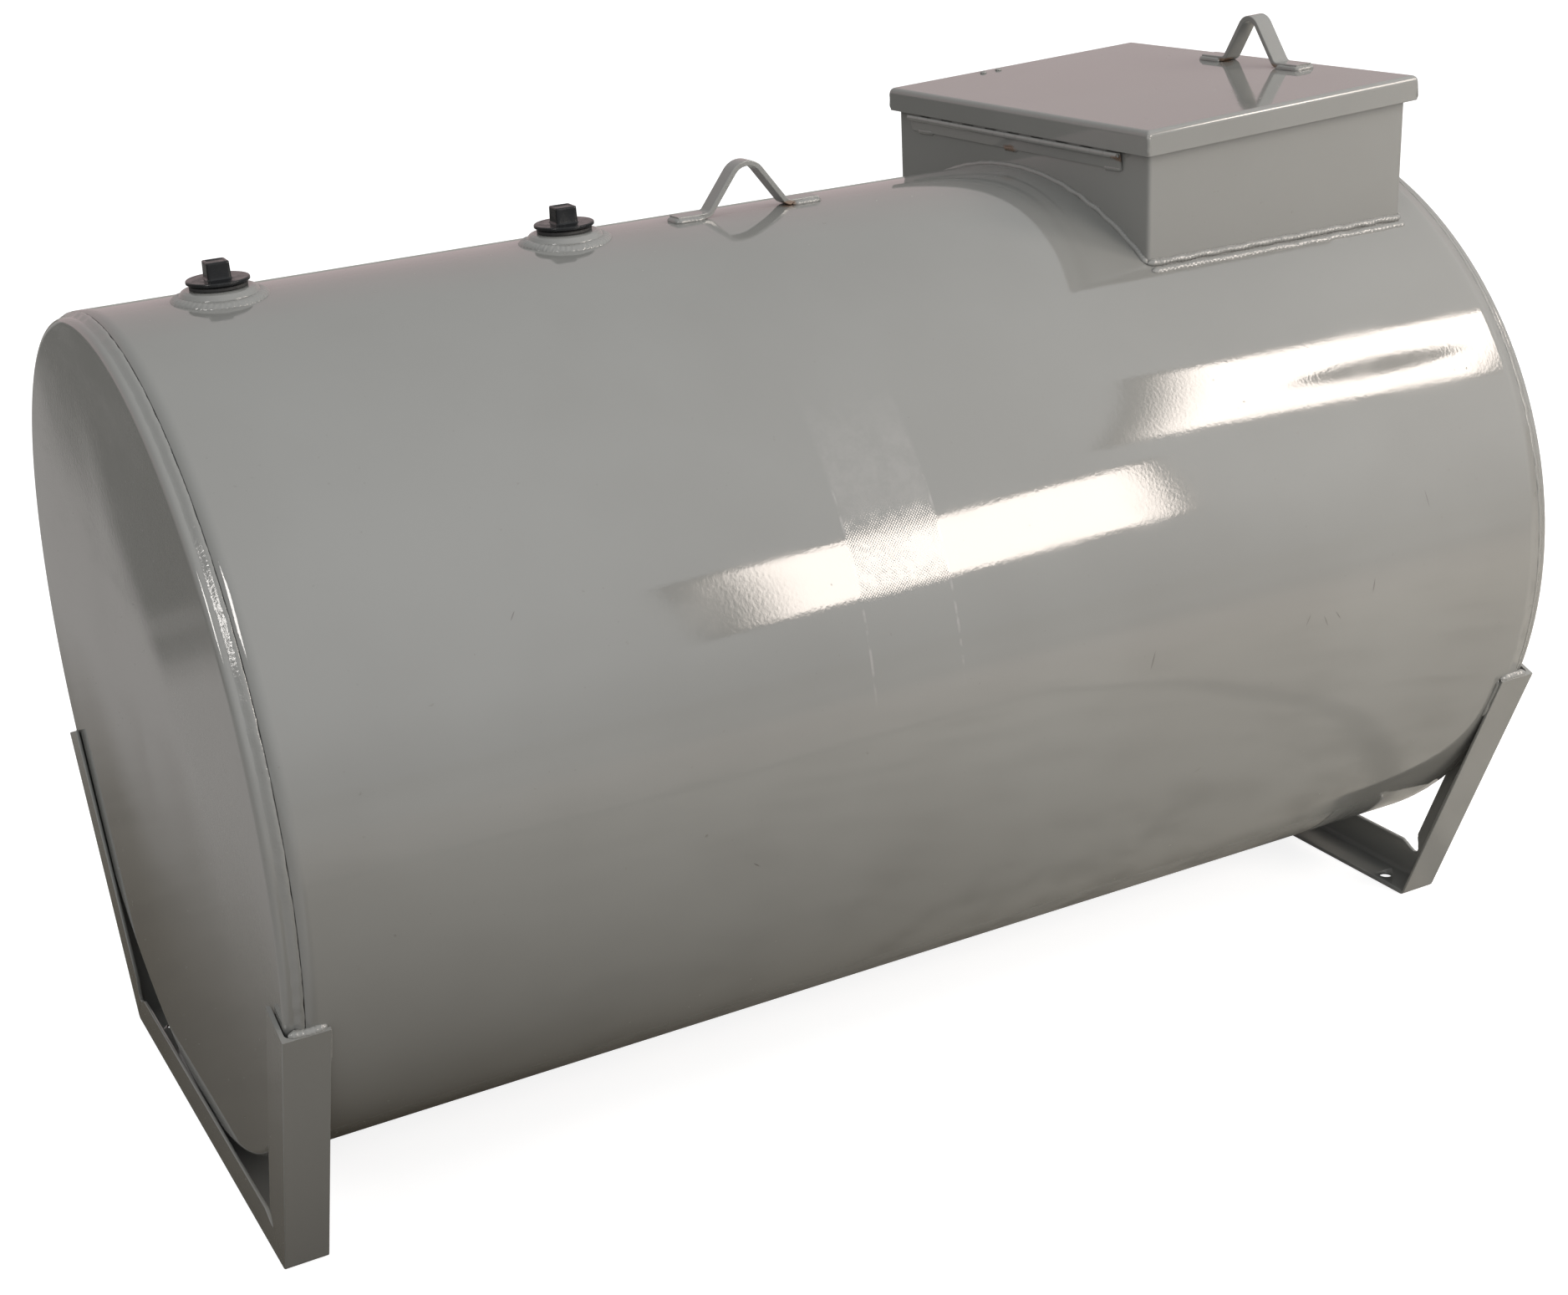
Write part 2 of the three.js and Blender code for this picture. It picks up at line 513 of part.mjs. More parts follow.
// ---------------------------------------------------------------- filler
const NECK_TOP = NECK.height;
const RIM_TOP = NECK_TOP + WELD_GAP + STRAINER.rimWall;
const FILLER_SEAL_TOP = RIM_TOP + WELD_GAP + FILLER_SEAL.height;

const fillerNeck = () => turned(ring(NECK.bore, NECK.radius, -NECK.below, NECK_TOP), PORT_STEPS);
const fillerSeal = () => turned(
  ring(FILLER_SEAL.inner, FILLER_SEAL.outer, RIM_TOP + WELD_GAP, FILLER_SEAL_TOP), PORT_STEPS);

// A basket that hangs in the neck by its rim.
function strainer() {
  const { radius, wall, depth, rimRadius, rimWall } = STRAINER;
  const floor = NECK_TOP - depth;
  return turned([
    [0, floor], [radius, floor], [radius, NECK_TOP + WELD_GAP], [rimRadius, NECK_TOP + WELD_GAP],
    [rimRadius, NECK_TOP + WELD_GAP + rimWall], [radius - wall, NECK_TOP + WELD_GAP + rimWall],
    [radius - wall, floor + wall], [0, floor + wall],
  ], PORT_STEPS);
}

function fillerCap() {
  const bore = NECK.radius + 2 * TURN_GAP;
  const under = FILLER_SEAL_TOP + WELD_GAP;
  let cap = turned([
    [0, under], [bore, under], [bore, under - CAP.skirt], [bore + CAP.wall, under - CAP.skirt],
    [bore + CAP.wall, under + CAP.wall / 2], [bore, under + CAP.wall], [0, under + CAP.wall],
  ], PORT_STEPS);
  for (let k = 0; k < CAP.ribs; k += 1) {
    const turn = new THREE.Matrix4().makeRotationZ((k * 2 * Math.PI) / CAP.ribs);
    const rib = new THREE.BoxGeometry(2 * CAP.ribDepth, CAP.ribWidth, CAP.skirt);
    cap = cap.add(solid(rib, turn.multiply(at(bore + CAP.wall, 0, under - CAP.skirt / 2))));
  }
  return cap;
}

// ---------------------------------------------------------------- assembly
piece('tank_shell', tankShell(), GREY_PAINT);
piece('left_head', tankHead(-1), GREY_PAINT);
piece('right_head', tankHead(1), GREY_PAINT);
piece('baffle_plate', bafflePlate(), GREY_PAINT);
piece('left_cradle', cradle(-1), GREY_PAINT);
piece('right_cradle', cradle(1), GREY_PAINT);

for (const [name, x] of Object.entries(PORT_X)) {
  const place = at(x, 0, CREST);
  const saddle = tankCore(TANK_RADIUS + WELD_GAP)
    .subtract(turned(disc(PORT_PILOT_RADIUS + WELD_GAP / 2, 0, 2 * CREST), PORT_STEPS, at(x, 0, 0)))
    .translate(-x, 0, -CREST);
  piece(`${name}_bung`, portBung().subtract(saddle), GREY_PAINT, place);
  piece(`${name}_plug_seal`, plugSeal(), BLACK_RUBBER, place);
  piece(`${name}_plug`, portPlug(), BLACK_PLASTIC, place);
}

const lugPlace = at(LUG.x, BAR.width / 2, CREST + WELD_GAP).multiply(SECTION_IN_XZ);
piece('lifting_lug', extruded(bentBar(LUG), BAR.width, lugPlace), GREY_PAINT);

piece('compartment_box', compartmentBox(), GREY_PAINT);
piece('hinge_box_leaf', hingeLeaf(boxLeafPlate(), 0), GREY_PAINT, at(...hingeAxis));
const pin = barrel(HINGE_PIN_RADIUS, -HINGE_LENGTH / 2, HINGE_LENGTH / 2);
piece('hinge_pin', pin, ZINC_STEEL, at(...hingeAxis));
const onLid = (x, y, z) => LID_FRAME.clone().multiply(at(x, y, z));
piece('hinge_lid_leaf', hingeLeaf(lidLeafPlate(), 1), GREY_PAINT, onLid(HINGE_X, HINGE_Y, HINGE_Z));

piece('lid_panel', lidPanel(), GREY_PAINT, LID_FRAME);
piece('lid_seal', lidSeal(), BLACK_RUBBER, LID_FRAME);
piece('lid_stay_tab', stayTab(), ZINC_STEEL, LID_FRAME);
RIVET_PLACES.forEach(([x, y], i) => piece(`lid_rivet_${i + 1}`, rivet(), GREY_PAINT, onLid(x, y, 0)));
const handlePlace = at(HANDLE.x - BAR.width / 2, HANDLE.y, WELD_GAP).multiply(SECTION_IN_YZ);
piece('lid_handle', extruded(bentBar(HANDLE), BAR.width, handlePlace), GREY_PAINT, LID_FRAME);

const fillerPlace = at(BOX_X, 0, CREST);
piece('filler_neck', fillerNeck(), GREY_PAINT, fillerPlace);
piece('filler_strainer', strainer(), ZINC_STEEL, fillerPlace);
piece('filler_seal', fillerSeal(), BLACK_RUBBER, fillerPlace);
piece('filler_cap', fillerCap(), ZINC_STEEL, fillerPlace);

export default parts;
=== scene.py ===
"""A horizontal hydraulic reservoir in glossy grey enamel: a rolled shell between two flanged heads, two
angle stands, two plugged ports, a lifting eye and a lidded compartment over the filler. Metres, +Z up."""
import math

import bmesh
import bpy
import numpy as np
from mathutils import Matrix, Vector


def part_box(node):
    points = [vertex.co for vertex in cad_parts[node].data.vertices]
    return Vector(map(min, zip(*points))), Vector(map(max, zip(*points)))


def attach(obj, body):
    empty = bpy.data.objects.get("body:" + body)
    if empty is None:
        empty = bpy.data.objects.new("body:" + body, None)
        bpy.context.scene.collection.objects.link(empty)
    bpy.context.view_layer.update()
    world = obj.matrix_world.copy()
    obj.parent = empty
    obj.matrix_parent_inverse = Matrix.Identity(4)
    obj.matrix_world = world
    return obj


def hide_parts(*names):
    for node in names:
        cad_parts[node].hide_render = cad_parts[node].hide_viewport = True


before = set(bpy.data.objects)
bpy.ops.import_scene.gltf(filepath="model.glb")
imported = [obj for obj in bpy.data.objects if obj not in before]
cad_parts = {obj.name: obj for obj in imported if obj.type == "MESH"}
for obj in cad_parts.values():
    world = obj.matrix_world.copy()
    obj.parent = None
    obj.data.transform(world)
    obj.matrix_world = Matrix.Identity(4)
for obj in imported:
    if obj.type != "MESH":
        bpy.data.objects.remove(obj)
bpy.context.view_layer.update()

MM = 0.001
ROUND = 2 * math.pi

# ---------------------------------------------------------------- places taken from the frame
def corners(node):
    """The lowest and highest corner of a node as arrays."""
    return tuple(np.array(corner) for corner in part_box(node))


SHELL_LOW, SHELL_HIGH = corners("tank_shell")
RADIUS = (SHELL_HIGH[1] - SHELL_LOW[1]) / 2
AXIS_Z = (SHELL_HIGH[2] + SHELL_LOW[2]) / 2
CREST = SHELL_HIGH[2]
SHELL_END = SHELL_HIGH[0]
SHELL_WALL = 4.8 * MM
SEAM_GAP = 0.3 * MM  # between two bodies that are welded or pressed together

BOX_LOW, BOX_HIGH = corners("compartment_box")
BOX_MIDDLE = (BOX_LOW[0] + BOX_HIGH[0]) / 2
BOX_HALF = (BOX_HIGH - BOX_LOW)[:2] / 2
BOX_WALL = 3.4 * MM

LID_SLOPE = math.radians(2.25)
LID_WALL = 3.4 * MM
LID_BEND = 7 * MM
LID_SKIRT = 29 * MM
LID_HALF = np.array([BOX_HALF[0] / math.cos(LID_SLOPE) + 10.3 * MM, BOX_HALF[1] + 10.3 * MM])
LID_TOP = corners("lid_panel")[1][2] - (LID_HALF[0] - LID_BEND) * math.sin(LID_SLOPE)
SEAL_WALL = 5 * MM


def on_lid(points):
    """Points given from the middle of the lid's top face, turned up by its slope and set in place."""
    x, y, z = np.moveaxis(np.asarray(points, float), -1, 0)
    c, s = math.cos(LID_SLOPE), math.sin(LID_SLOPE)
    return np.stack([BOX_MIDDLE + x * c - z * s, y, LID_TOP + x * s + z * c], -1)


def from_lid(point):
    """A place in the frame as seen from the middle of the lid's top face."""
    x, y, z = point[0] - BOX_MIDDLE, point[1], point[2] - LID_TOP
    c, s = math.cos(LID_SLOPE), math.sin(LID_SLOPE)
    return np.array([x * c + z * s, y, -x * s + z * c])


def lid_way(directions):
    """Directions given along the lid's own axes, as the frame has them."""
    return on_lid(directions) - on_lid(np.zeros_like(directions))


def on_shell(x, y, lift=0.0):
    """The point of the shell above (x, y): its height is the axis plus the root of radius squared less y
    squared, with the radius grown by a lift."""
    x, y = np.broadcast_arrays(np.asarray(x, float), np.asarray(y, float))
    return np.stack([x, y, AXIS_Z + np.sqrt((RADIUS + lift) ** 2 - y**2)], -1)


def crest_at(node):
    """The place on the shell's crest under the middle of a node."""
    low, high = corners(node)
    return np.array([(low[0] + high[0]) / 2, 0, CREST])


# ---------------------------------------------------------------- outlines and surfaces
def rounded(points, radii, steps=6, hold=0.5 * MM, closed=True):
    """The outline through some corners, each an arc of its radius whose centre lies on the corner's bisector.
    A point held just beyond each end of an arc keeps the flat beside it flat."""
    points = np.asarray(points, float)
    radii = np.broadcast_to(radii, len(points))
    runs = []
    for i, here in enumerate(points):
        if not closed and i in (0, len(points) - 1):
            runs.append(here[None])
            continue
        back, ahead = points[i - 1] - here, points[(i + 1) % len(points)] - here
        a, b = back / np.linalg.norm(back), ahead / np.linalg.norm(ahead)
        half = math.acos(np.clip(a @ b, -1, 1)) / 2
        reach = radii[i] / math.tan(half)
        turn = math.pi - 2 * half
        centre = here + (a + b) / np.linalg.norm(a + b) * radii[i] / math.sin(half)
        t = np.linspace(0, 1, steps + 1)[:, None] * turn
        arc = centre + (np.sin(turn - t) * (here + a * reach - centre)
                        + np.sin(t) * (here + b * reach - centre)) / math.sin(turn)
        runs += [(here + a * (reach + hold))[None], arc, (here + b * (reach + hold))[None]]
    return np.vstack(runs)


def joined(profile):
    """A profile carried back to its first point."""
    return np.vstack([profile, profile[:1]])


def spun(points, angle):
    """Points of a plane turned about its origin by an angle, from the second axis towards the first."""
    x, y, c, s = points[..., 0], points[..., 1], math.cos(angle), math.sin(angle)
    return np.stack([x * c + y * s, y * c - x * s], -1)


def headed(line):
    """The direction of each point of a line, from its neighbours, with a length of one."""
    along = np.gradient(line, axis=0)
    return along / np.linalg.norm(along, axis=1)[:, None]


def sheet(points, rows=False, columns=False, caps=False):
    """A grid of points as vertices and faces. rows or columns joins the last line to the first, and caps
    closes the first and last row with one face each."""
    points = np.asarray(points, float)
    count, across = points.shape[:2]
    i, j = np.meshgrid(np.arange(count if rows else count - 1),
                       np.arange(across if columns else across - 1), indexing="ij")
    i, j, k, m = i.ravel(), j.ravel(), (i.ravel() + 1) % count, (j.ravel() + 1) % across
    faces = np.stack([i * across + j, k * across + j, k * across + m, i * across + m], -1).tolist()
    if caps:
        line = np.arange(across)
        faces += [line.tolist(), (line[::-1] + (count - 1) * across).tolist()]
    return points.reshape(-1, 3), faces


def turned(profile, centre, steps=96, axis="z"):
    """A profile of radius and height turned about an axis through a centre, each point round a circle."""
    profile = np.asarray(profile, float)
    angle = np.linspace(0, ROUND, steps, endpoint=False)[:, None]
    radius, height = profile[None, :, 0], profile[None, :, 1]
    u, v, w = radius * np.cos(angle), radius * np.sin(angle), height + 0 * angle
    order = {"z": (u, v, w), "x": (w, u, v), "y": (v, w, u)}[axis]
    return sheet(np.stack(order, -1) + np.asarray(centre), rows=True)


def carried(outline, spine, across, up):
    """An outline carried along a spine: each of its points is the spine's place plus its first number across
    and its second up."""
    spine, across, up = (np.asarray(a, float) for a in (spine, across, up))
    across, up = np.broadcast_to(across, spine.shape), np.broadcast_to(up, spine.shape)
    points = spine[:, None] + outline[None, :, :1] * across[:, None] + outline[None, :, 1:] * up[:, None]
    return sheet(points, columns=True, caps=True)


QUARTERS = [(1, 1), (-1, 1), (-1, -1), (1, -1)]  # the corners of a rectangle, once round


def rectangle_loops(half, radius, side_steps=1, corner_steps=6, hold=1 * MM):
    """Loops round a rectangle with rounded corners, one for each row of half sizes and radius: quarter arcs,
    a held point beyond each, and evenly spread points along the sides."""
    half, radius = np.atleast_2d(half), np.atleast_1d(radius)[:, None]
    hx, hy = half[:, :1], half[:, 1:]
    t = np.linspace(0, math.pi / 2, corner_steps + 1)[None]
    spread = np.linspace(0, 1, side_steps + 1)[None]
    loops = []
    for k, (sx, sy) in enumerate(QUARTERS):
        angle = t + k * math.pi / 2
        loops.append(np.stack([sx * (hx - radius) + radius * np.cos(angle),
                               sy * (hy - radius) + radius * np.sin(angle)], -1))
        free_x, free_y = hx - radius - hold, hy - radius - hold
        if k % 2 == 0:
            side = np.stack([sx * (free_x - 2 * free_x * spread), sy * hy + 0 * spread], -1)
        else:
            side = np.stack([sx * hx + 0 * spread, sy * (free_y - 2 * free_y * spread)], -1)
        loops.append(side)
    return np.concatenate(loops, axis=1)


def wobble(along, seed, wave):
    """A smooth uneven run between about -1 and 1: four sines of nearby wavelengths with drawn phases."""
    random = np.random.default_rng(seed)
    phase, stretch = random.uniform(0, ROUND, 4), random.uniform(0.6, 1.9, 4)
    return sum(np.sin(ROUND * along * k / wave + p) for k, p in zip(stretch, phase)) / 2.5


BEAD_STEP = 1.1 * MM


def bead(path, out, width, height, seed, ring=False, ripple=3.4 * MM, turn_steps=14):
    """A weld bead along a path: an oval tube half sunk in the seam, out being the way it stands proud. Its
    size swells with a crescent ripple, the size of a sine of the length less a share of the cosine squared
    round the tube, and wanders with a slow wobble; its ends taper as a root of the length left."""
    path, out = np.asarray(path, float), np.asarray(out, float)
    out = np.broadcast_to(out, path.shape)
    if ring:
        path, out = joined(path), joined(out)
    length = np.concatenate([[0], np.cumsum(np.linalg.norm(np.diff(path, axis=0), axis=1))])
    count = max(8, int(length[-1] / BEAD_STEP))
    at = np.linspace(0, length[-1], count, endpoint=not ring)
    spine = np.stack([np.interp(at, length, path[:, k]) for k in range(3)], -1)
    out = np.stack([np.interp(at, length, out[:, k]) for k in range(3)], -1)
    along = headed(spine)
    out -= along * (out * along).sum(1)[:, None]
    out /= np.linalg.norm(out, axis=1)[:, None]
    across = np.cross(along, out)
    angle = np.linspace(0, ROUND, turn_steps, endpoint=False)[None]
    reach = at[:, None]
    crescent = np.abs(np.sin(math.pi * (reach + 0.6 * ripple * np.cos(angle) ** 2) / ripple))
    slow, quick = wobble(reach, seed, 9 * ripple), wobble(reach, seed + 1, ripple)
    swell = 0.9 + 0.16 * crescent + 0.10 * slow + 0.05 * quick
    if not ring:
        left = np.minimum(reach, length[-1] - reach)
        swell = swell * np.sqrt(np.clip(left / (0.7 * width), 0.02, 1))
    sway = (0.06 * width * wobble(at, seed + 2, 12 * ripple))[:, None] * across
    tube = (across[:, None] * (np.cos(angle) * swell)[..., None] * width / 2
            + out[:, None] * (np.sin(angle) * swell)[..., None] * height)
    return sheet((spine + sway)[:, None] + tube, rows=ring, columns=True, caps=not ring)


SHARP = math.radians(38)
MERGE, NO_EDGE = 0.004 * MM, 0.002 * MM  # points closer than the first are one, edges below the second go


def piece(name, sheets, body, slot, material, stands_for=(), wall=0.0):
    """One object from its sheets, with doubled points merged, faces turned outwards and sharp edges kept
    crisp. A wall thickens an open sheet inwards."""
    vertices, faces, start = [], [], 0
    for points, polygons in sheets:
        vertices.append(points)
        faces += [[k + start for k in polygon] for polygon in polygons]
        start += len(points)
    vertices = np.vstack(vertices)
    assert np.isfinite(vertices).all(), name
    mesh = bpy.data.meshes.new(name)
    mesh.from_pydata(vertices.tolist(), [], faces)
    shape = bmesh.new()
    shape.from_mesh(mesh)
    bmesh.ops.remove_doubles(shape, verts=shape.verts, dist=MERGE)
    bmesh.ops.dissolve_degenerate(shape, dist=NO_EDGE, edges=shape.edges)
    bmesh.ops.recalc_face_normals(shape, faces=shape.faces)
    shape.to_mesh(mesh)
    shape.free()
    mesh.shade_smooth()
    mesh.set_sharp_from_angle(angle=SHARP)
    made = bpy.data.objects.new(name, mesh)
    bpy.context.scene.collection.objects.link(made)
    mesh.materials.append(material)
    if wall:
        plate = made.modifiers.new("plate", "SOLIDIFY")
        plate.thickness, plate.offset, plate.use_even_offset = wall, -1, True
    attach(made, body)
    if stands_for:
        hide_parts(*stands_for)
    return made


def drill(made, cutter):
    """Cuts a solid out of a piece, and throws the cutter away."""
    cut = made.modifiers.new("drill", "BOOLEAN")
    cut.operation, cut.solver, cut.object = "DIFFERENCE", "EXACT", cutter
    mesh = bpy.data.meshes.new_from_object(made.evaluated_get(bpy.context.evaluated_depsgraph_get()))
    made.modifiers.clear()
    made.data = mesh
    bpy.data.objects.remove(cutter)


# ---------------------------------------------------------------- finishes
class Recipe:
    """A node material under construction, with short calls for the nodes that every finish here uses."""

    def __init__(self, name):
        self.material = bpy.data.materials.new(name)
        self.material.use_nodes = True
        self.tree = self.material.node_tree
        self.shader = self.tree.nodes["Principled BSDF"]
        self.place = self.tree.nodes.new("ShaderNodeTexCoord").outputs["Object"]

    def node(self, kind, **values):
        made = self.tree.nodes.new(kind)
        for key, value in values.items():
            setattr(made, key, value)
        return made

    def feed(self, socket, value):
        if isinstance(value, bpy.types.NodeSocket):
            self.tree.links.new(value, socket)
        elif isinstance(value, tuple) and len(value) == 3 and socket.type == "RGBA":
            socket.default_value = (*value, 1)
        else:
            socket.default_value = value

    def noise(self, scale, detail=2.0, roughness=0.5, stretch=None):
        """Noise in the object's metres, stretched along the axes where asked."""
        source = self.place
        if stretch:
            mapping = self.node("ShaderNodeMapping")
            mapping.inputs["Scale"].default_value = stretch
            self.feed(mapping.inputs["Vector"], self.place)
            source = mapping.outputs["Vector"]
        made = self.node("ShaderNodeTexNoise")
        self.feed(made.inputs["Vector"], source)
        made.inputs["Scale"].default_value = scale
        made.inputs["Detail"].default_value = detail
        made.inputs["Roughness"].default_value = roughness
        return made.outputs["Fac"]

    def ramp(self, value, low, high, to_low=0.0, to_high=1.0):
        """A value carried smoothly from one range to another, and held at its ends."""
        made = self.node("ShaderNodeMapRange", interpolation_type="SMOOTHSTEP")
        for key, number in zip(("Value", "From Min", "From Max", "To Min", "To Max"),
                               (value, low, high, to_low, to_high)):
            self.feed(made.inputs[key], number)
        return made.outputs["Result"]

    def maths(self, operation, a, b=0.0):
        made = self.node("ShaderNodeMath", operation=operation)
        self.feed(made.inputs[0], a)
        self.feed(made.inputs[1], b)
        return made.outputs[0]

    def product(self, value, *others):
        for other in others:
            value = self.maths("MULTIPLY", value, other)
        return value

    def axes(self):
        """The place's three numbers."""
        split = self.node("ShaderNodeSeparateXYZ")
        self.feed(split.inputs[0], self.place)
        return tuple(split.outputs)

    def own_place(self, **values):
        """The place as a body at a location, turned and scaled, would have it."""
        made = self.node("ShaderNodeMapping", vector_type="TEXTURE")
        self.feed(made.inputs["Vector"], self.place)
        for key, value in values.items():
            made.inputs[key].default_value = tuple(value)
        return made.outputs["Vector"]

    def length(self, vector):
        made = self.node("ShaderNodeVectorMath", operation="LENGTH")
        self.feed(made.inputs[0], vector)
        return made.outputs["Value"]

    def shown(self, surface):
        """The material shows a surface in place of its own shader."""
        self.tree.links.new(surface, self.tree.nodes["Material Output"].inputs["Surface"])

    def mix(self, share, a, b):
        made = self.node("ShaderNodeMix", data_type="RGBA")
        for socket, value in zip((made.inputs[0], made.inputs[6], made.inputs[7]), (share, a, b)):
            self.feed(socket, value)
        return made.outputs[2]

    def near(self, place, radius):
        """A patch round a place, from 1 at its middle to 0 at its radius, squashed to a third in height, with
        an edge broken up by noise."""
        far = self.length(self.own_place(Location=place, Scale=(radius, radius, radius / 3)))
        rough = self.product(self.noise(2.2 / radius, 4, 0.65), 0.7)
        return self.ramp(self.maths("ADD", far, rough), 0.9, 1.35, 1.0, 0.0)

    def bump(self, height, distance, under=None):
        made = self.node("ShaderNodeBump")
        made.inputs["Distance"].default_value = distance
        self.feed(made.inputs["Height"], height)
        if under is not None:
            self.feed(made.inputs["Normal"], under)
        return made.outputs["Normal"]

    def finish(self, color, roughness, normal=None, **fixed):
        self.feed(self.shader.inputs["Base Color"], color)
        self.feed(self.shader.inputs["Roughness"], roughness)
        if normal is not None:
            self.feed(self.shader.inputs["Normal"], normal)
        for key, value in fixed.items():
            self.shader.inputs[key.replace("_", " ")].default_value = value
        return self.material


GREY = (0.208, 0.211, 0.202)
GREY_WORN = (0.178, 0.178, 0.168)
RUST = (0.13, 0.062, 0.024)
DIRT = (0.08, 0.075, 0.065)
PRINT = (0.36, 0.35, 0.34)
RUBBED = (0.42, 0.41, 0.4)
PRIMER = (0.045, 0.04, 0.034)
GLOSS = 1.7  # the enamel's IOR


def enamel(name, rust=(), lumpy=0.0, waves=0.06 * MM, worn=()):
    """Glossy enamel over steel: orange peel, slow waves of the sheet, faint clouds of tone, fine dust pits,
    and rust round given places. Lumpy adds the rough skin of a painted weld. worn lists functions that add
    marks of use to the color, roughness and normal."""
    made = Recipe(name)
    cloud = made.ramp(made.noise(3.2, 3), 0.35, 0.7)
    color = made.mix(cloud, GREY_WORN, GREY)
    color = made.mix(0.55, color, GREY)
    pits = made.ramp(made.noise(170, 1, 0.4), 0.79, 0.82)
    color = made.mix(made.product(pits, 0.7), color, DIRT)
    smear = made.ramp(made.noise(11, 5, 0.6, stretch=(1, 0.35, 1.6)), 0.45, 0.75, 0.05, 0.105)
    roughness = made.maths("ADD", smear, made.product(pits, 0.3))
    normal = made.bump(made.noise(2.6, 2), waves * 14)
    normal = made.bump(made.noise(260, 2, 0.45), 0.035 * MM, under=normal)
    normal = made.bump(made.noise(900, 2, 0.5), 0.006 * MM, under=normal)
    if lumpy:
        normal = made.bump(made.noise(330, 3, 0.6), lumpy, under=normal)
    for place, radius in rust:
        patch = made.product(made.near(place, radius), 0.75)
        color = made.mix(patch, color, RUST)
        roughness = made.maths("ADD", roughness, made.product(patch, 0.45))
    for mark in worn:
        color, roughness, normal = mark(made, color, roughness, normal)
    return made.finish(color, roughness, normal, IOR=GLOSS)


# Where a sling has rubbed the shell's front
SLING = {"x": -0.087, "half": 0.055, "top": 0.83, "bottom": 0.66}
WEAVE = 3.4 * MM


def sling_print(made, color, roughness, normal):
    """The print of a lifting sling: a pale haze over its width, the dimples of its weave as the product of
    two sines of the place across and down, and a rubbed line down each edge."""
    x, y, z = made.axes()
    off = made.maths("ABSOLUTE", made.maths("SUBTRACT", x, SLING["x"]))
    front = made.ramp(y, 0.0, -0.05)
    across = made.product(made.ramp(off, SLING["half"] + 4 * MM, SLING["half"] - 5 * MM), front)
    reach = made.product(made.ramp(z, SLING["top"] + 0.05, SLING["top"] - 0.04),
                         made.ramp(z, SLING["bottom"], SLING["bottom"] + 0.03))
    cloudy = made.ramp(made.noise(38, 4, 0.7), 0.3, 0.7, 0.25, 1.0)
    haze = made.product(across, reach, cloudy)
    color = made.mix(made.product(haze, 0.2), color, PRINT)
    roughness = made.maths("ADD", roughness, made.product(haze, 0.012))
    threads = [made.maths("SINE", made.product(way, ROUND / WEAVE)) for way in (x, z)]
    low = made.ramp(z, SLING["top"] - 0.04, SLING["top"] - 0.09)
    normal = made.bump(made.product(*threads, across, reach, low, cloudy), 0.05 * MM, under=normal)
    beside = made.ramp(made.maths("ABSOLUTE", made.maths("SUBTRACT", off, SLING["half"])),
                       0.5 * MM, 2.2 * MM, 1.0, 0.0)
    rub = made.product(beside, front, made.ramp(made.noise(60, 3), 0.4, 0.6),
                       made.ramp(z, 0.79, 0.77), made.ramp(z, 0.55, 0.60))
    return made.mix(made.product(rub, 0.3), color, RUBBED), roughness, normal


# Each mark's place along and up the shell's front, its length in millimetres and its lean in degrees
SCRATCHES = [(0.533, 0.545, 16, 12), (0.480, 0.520, 13, -35), (0.436, 0.524, 14, 28), (0.462, 0.517, 15, -24),
             (0.215, 0.526, 22, 18), (0.058, 0.294, 7, 30), (-0.29, 0.41, 9, -50), (0.30, 0.36, 12, 65),
             (0.62, 0.63, 20, -12), (-0.52, 0.73, 10, 40)]
SCRATCH_WIDTH = 1.1 * MM
UNBOUNDED = 1e3  # a half size that nothing here reaches


def scratches(made, color, roughness, normal):
    """Short dark cuts through the enamel, each the inside of a long thin ellipse in the plane of x and z."""
    front = made.ramp(made.axes()[1], -0.2, -0.3)
    cut = 0.0
    for x, z, length, lean in SCRATCHES:
        own = made.own_place(Location=(x, 0, z), Rotation=(0, math.radians(lean), 0),
                             Scale=(SCRATCH_WIDTH / 2, UNBOUNDED, length * MM / 2))
        cut = made.maths("MAXIMUM", cut, made.ramp(made.length(own), 0.75, 1.1, 1.0, 0.0))
    cut = made.product(cut, front, 0.85)
    return made.mix(cut, color, PRIMER), made.maths("ADD", roughness, made.product(cut, 0.4)), normal


def moulded_plastic():
    """Black moulded plug plastic: shiny, with a faint grain and pale scuffs."""
    made = Recipe("moulded plastic")
    scuff = made.ramp(made.noise(95, 5, 0.7), 0.6, 0.72)
    color = made.mix(made.product(scuff, 0.3), (0.006, 0.0065, 0.0075), (0.05, 0.05, 0.052))
    roughness = made.ramp(made.noise(60, 4, 0.6), 0.35, 0.7, 0.14, 0.36)
    normal = made.bump(made.noise(700, 2), 0.03 * MM)
    return made.finish(color, roughness, normal, IOR=1.38)


def rubber():
    """Black rubber with a soft bloom and fine grain."""
    made = Recipe("rubber")
    color = made.mix(made.ramp(made.noise(40, 4), 0.4, 0.7), (0.018, 0.018, 0.018), (0.04, 0.039, 0.037))
    return made.finish(color, made.ramp(made.noise(120, 3), 0.3, 0.7, 0.55, 0.8),
                       made.bump(made.noise(900, 3), 0.05 * MM))


def zinc():
    """Zinc plate: bright metal with drifting tone and rubbed lines."""
    made = Recipe("zinc plate")
    color = made.mix(made.noise(30, 4), (0.36, 0.37, 0.38), (0.52, 0.52, 0.50))
    roughness = made.ramp(made.noise(55, 4, stretch=(1, 4, 1)), 0.3, 0.7, 0.28, 0.5)
    return made.finish(color, roughness, made.bump(made.noise(500, 3), 0.03 * MM), Metallic=1.0)


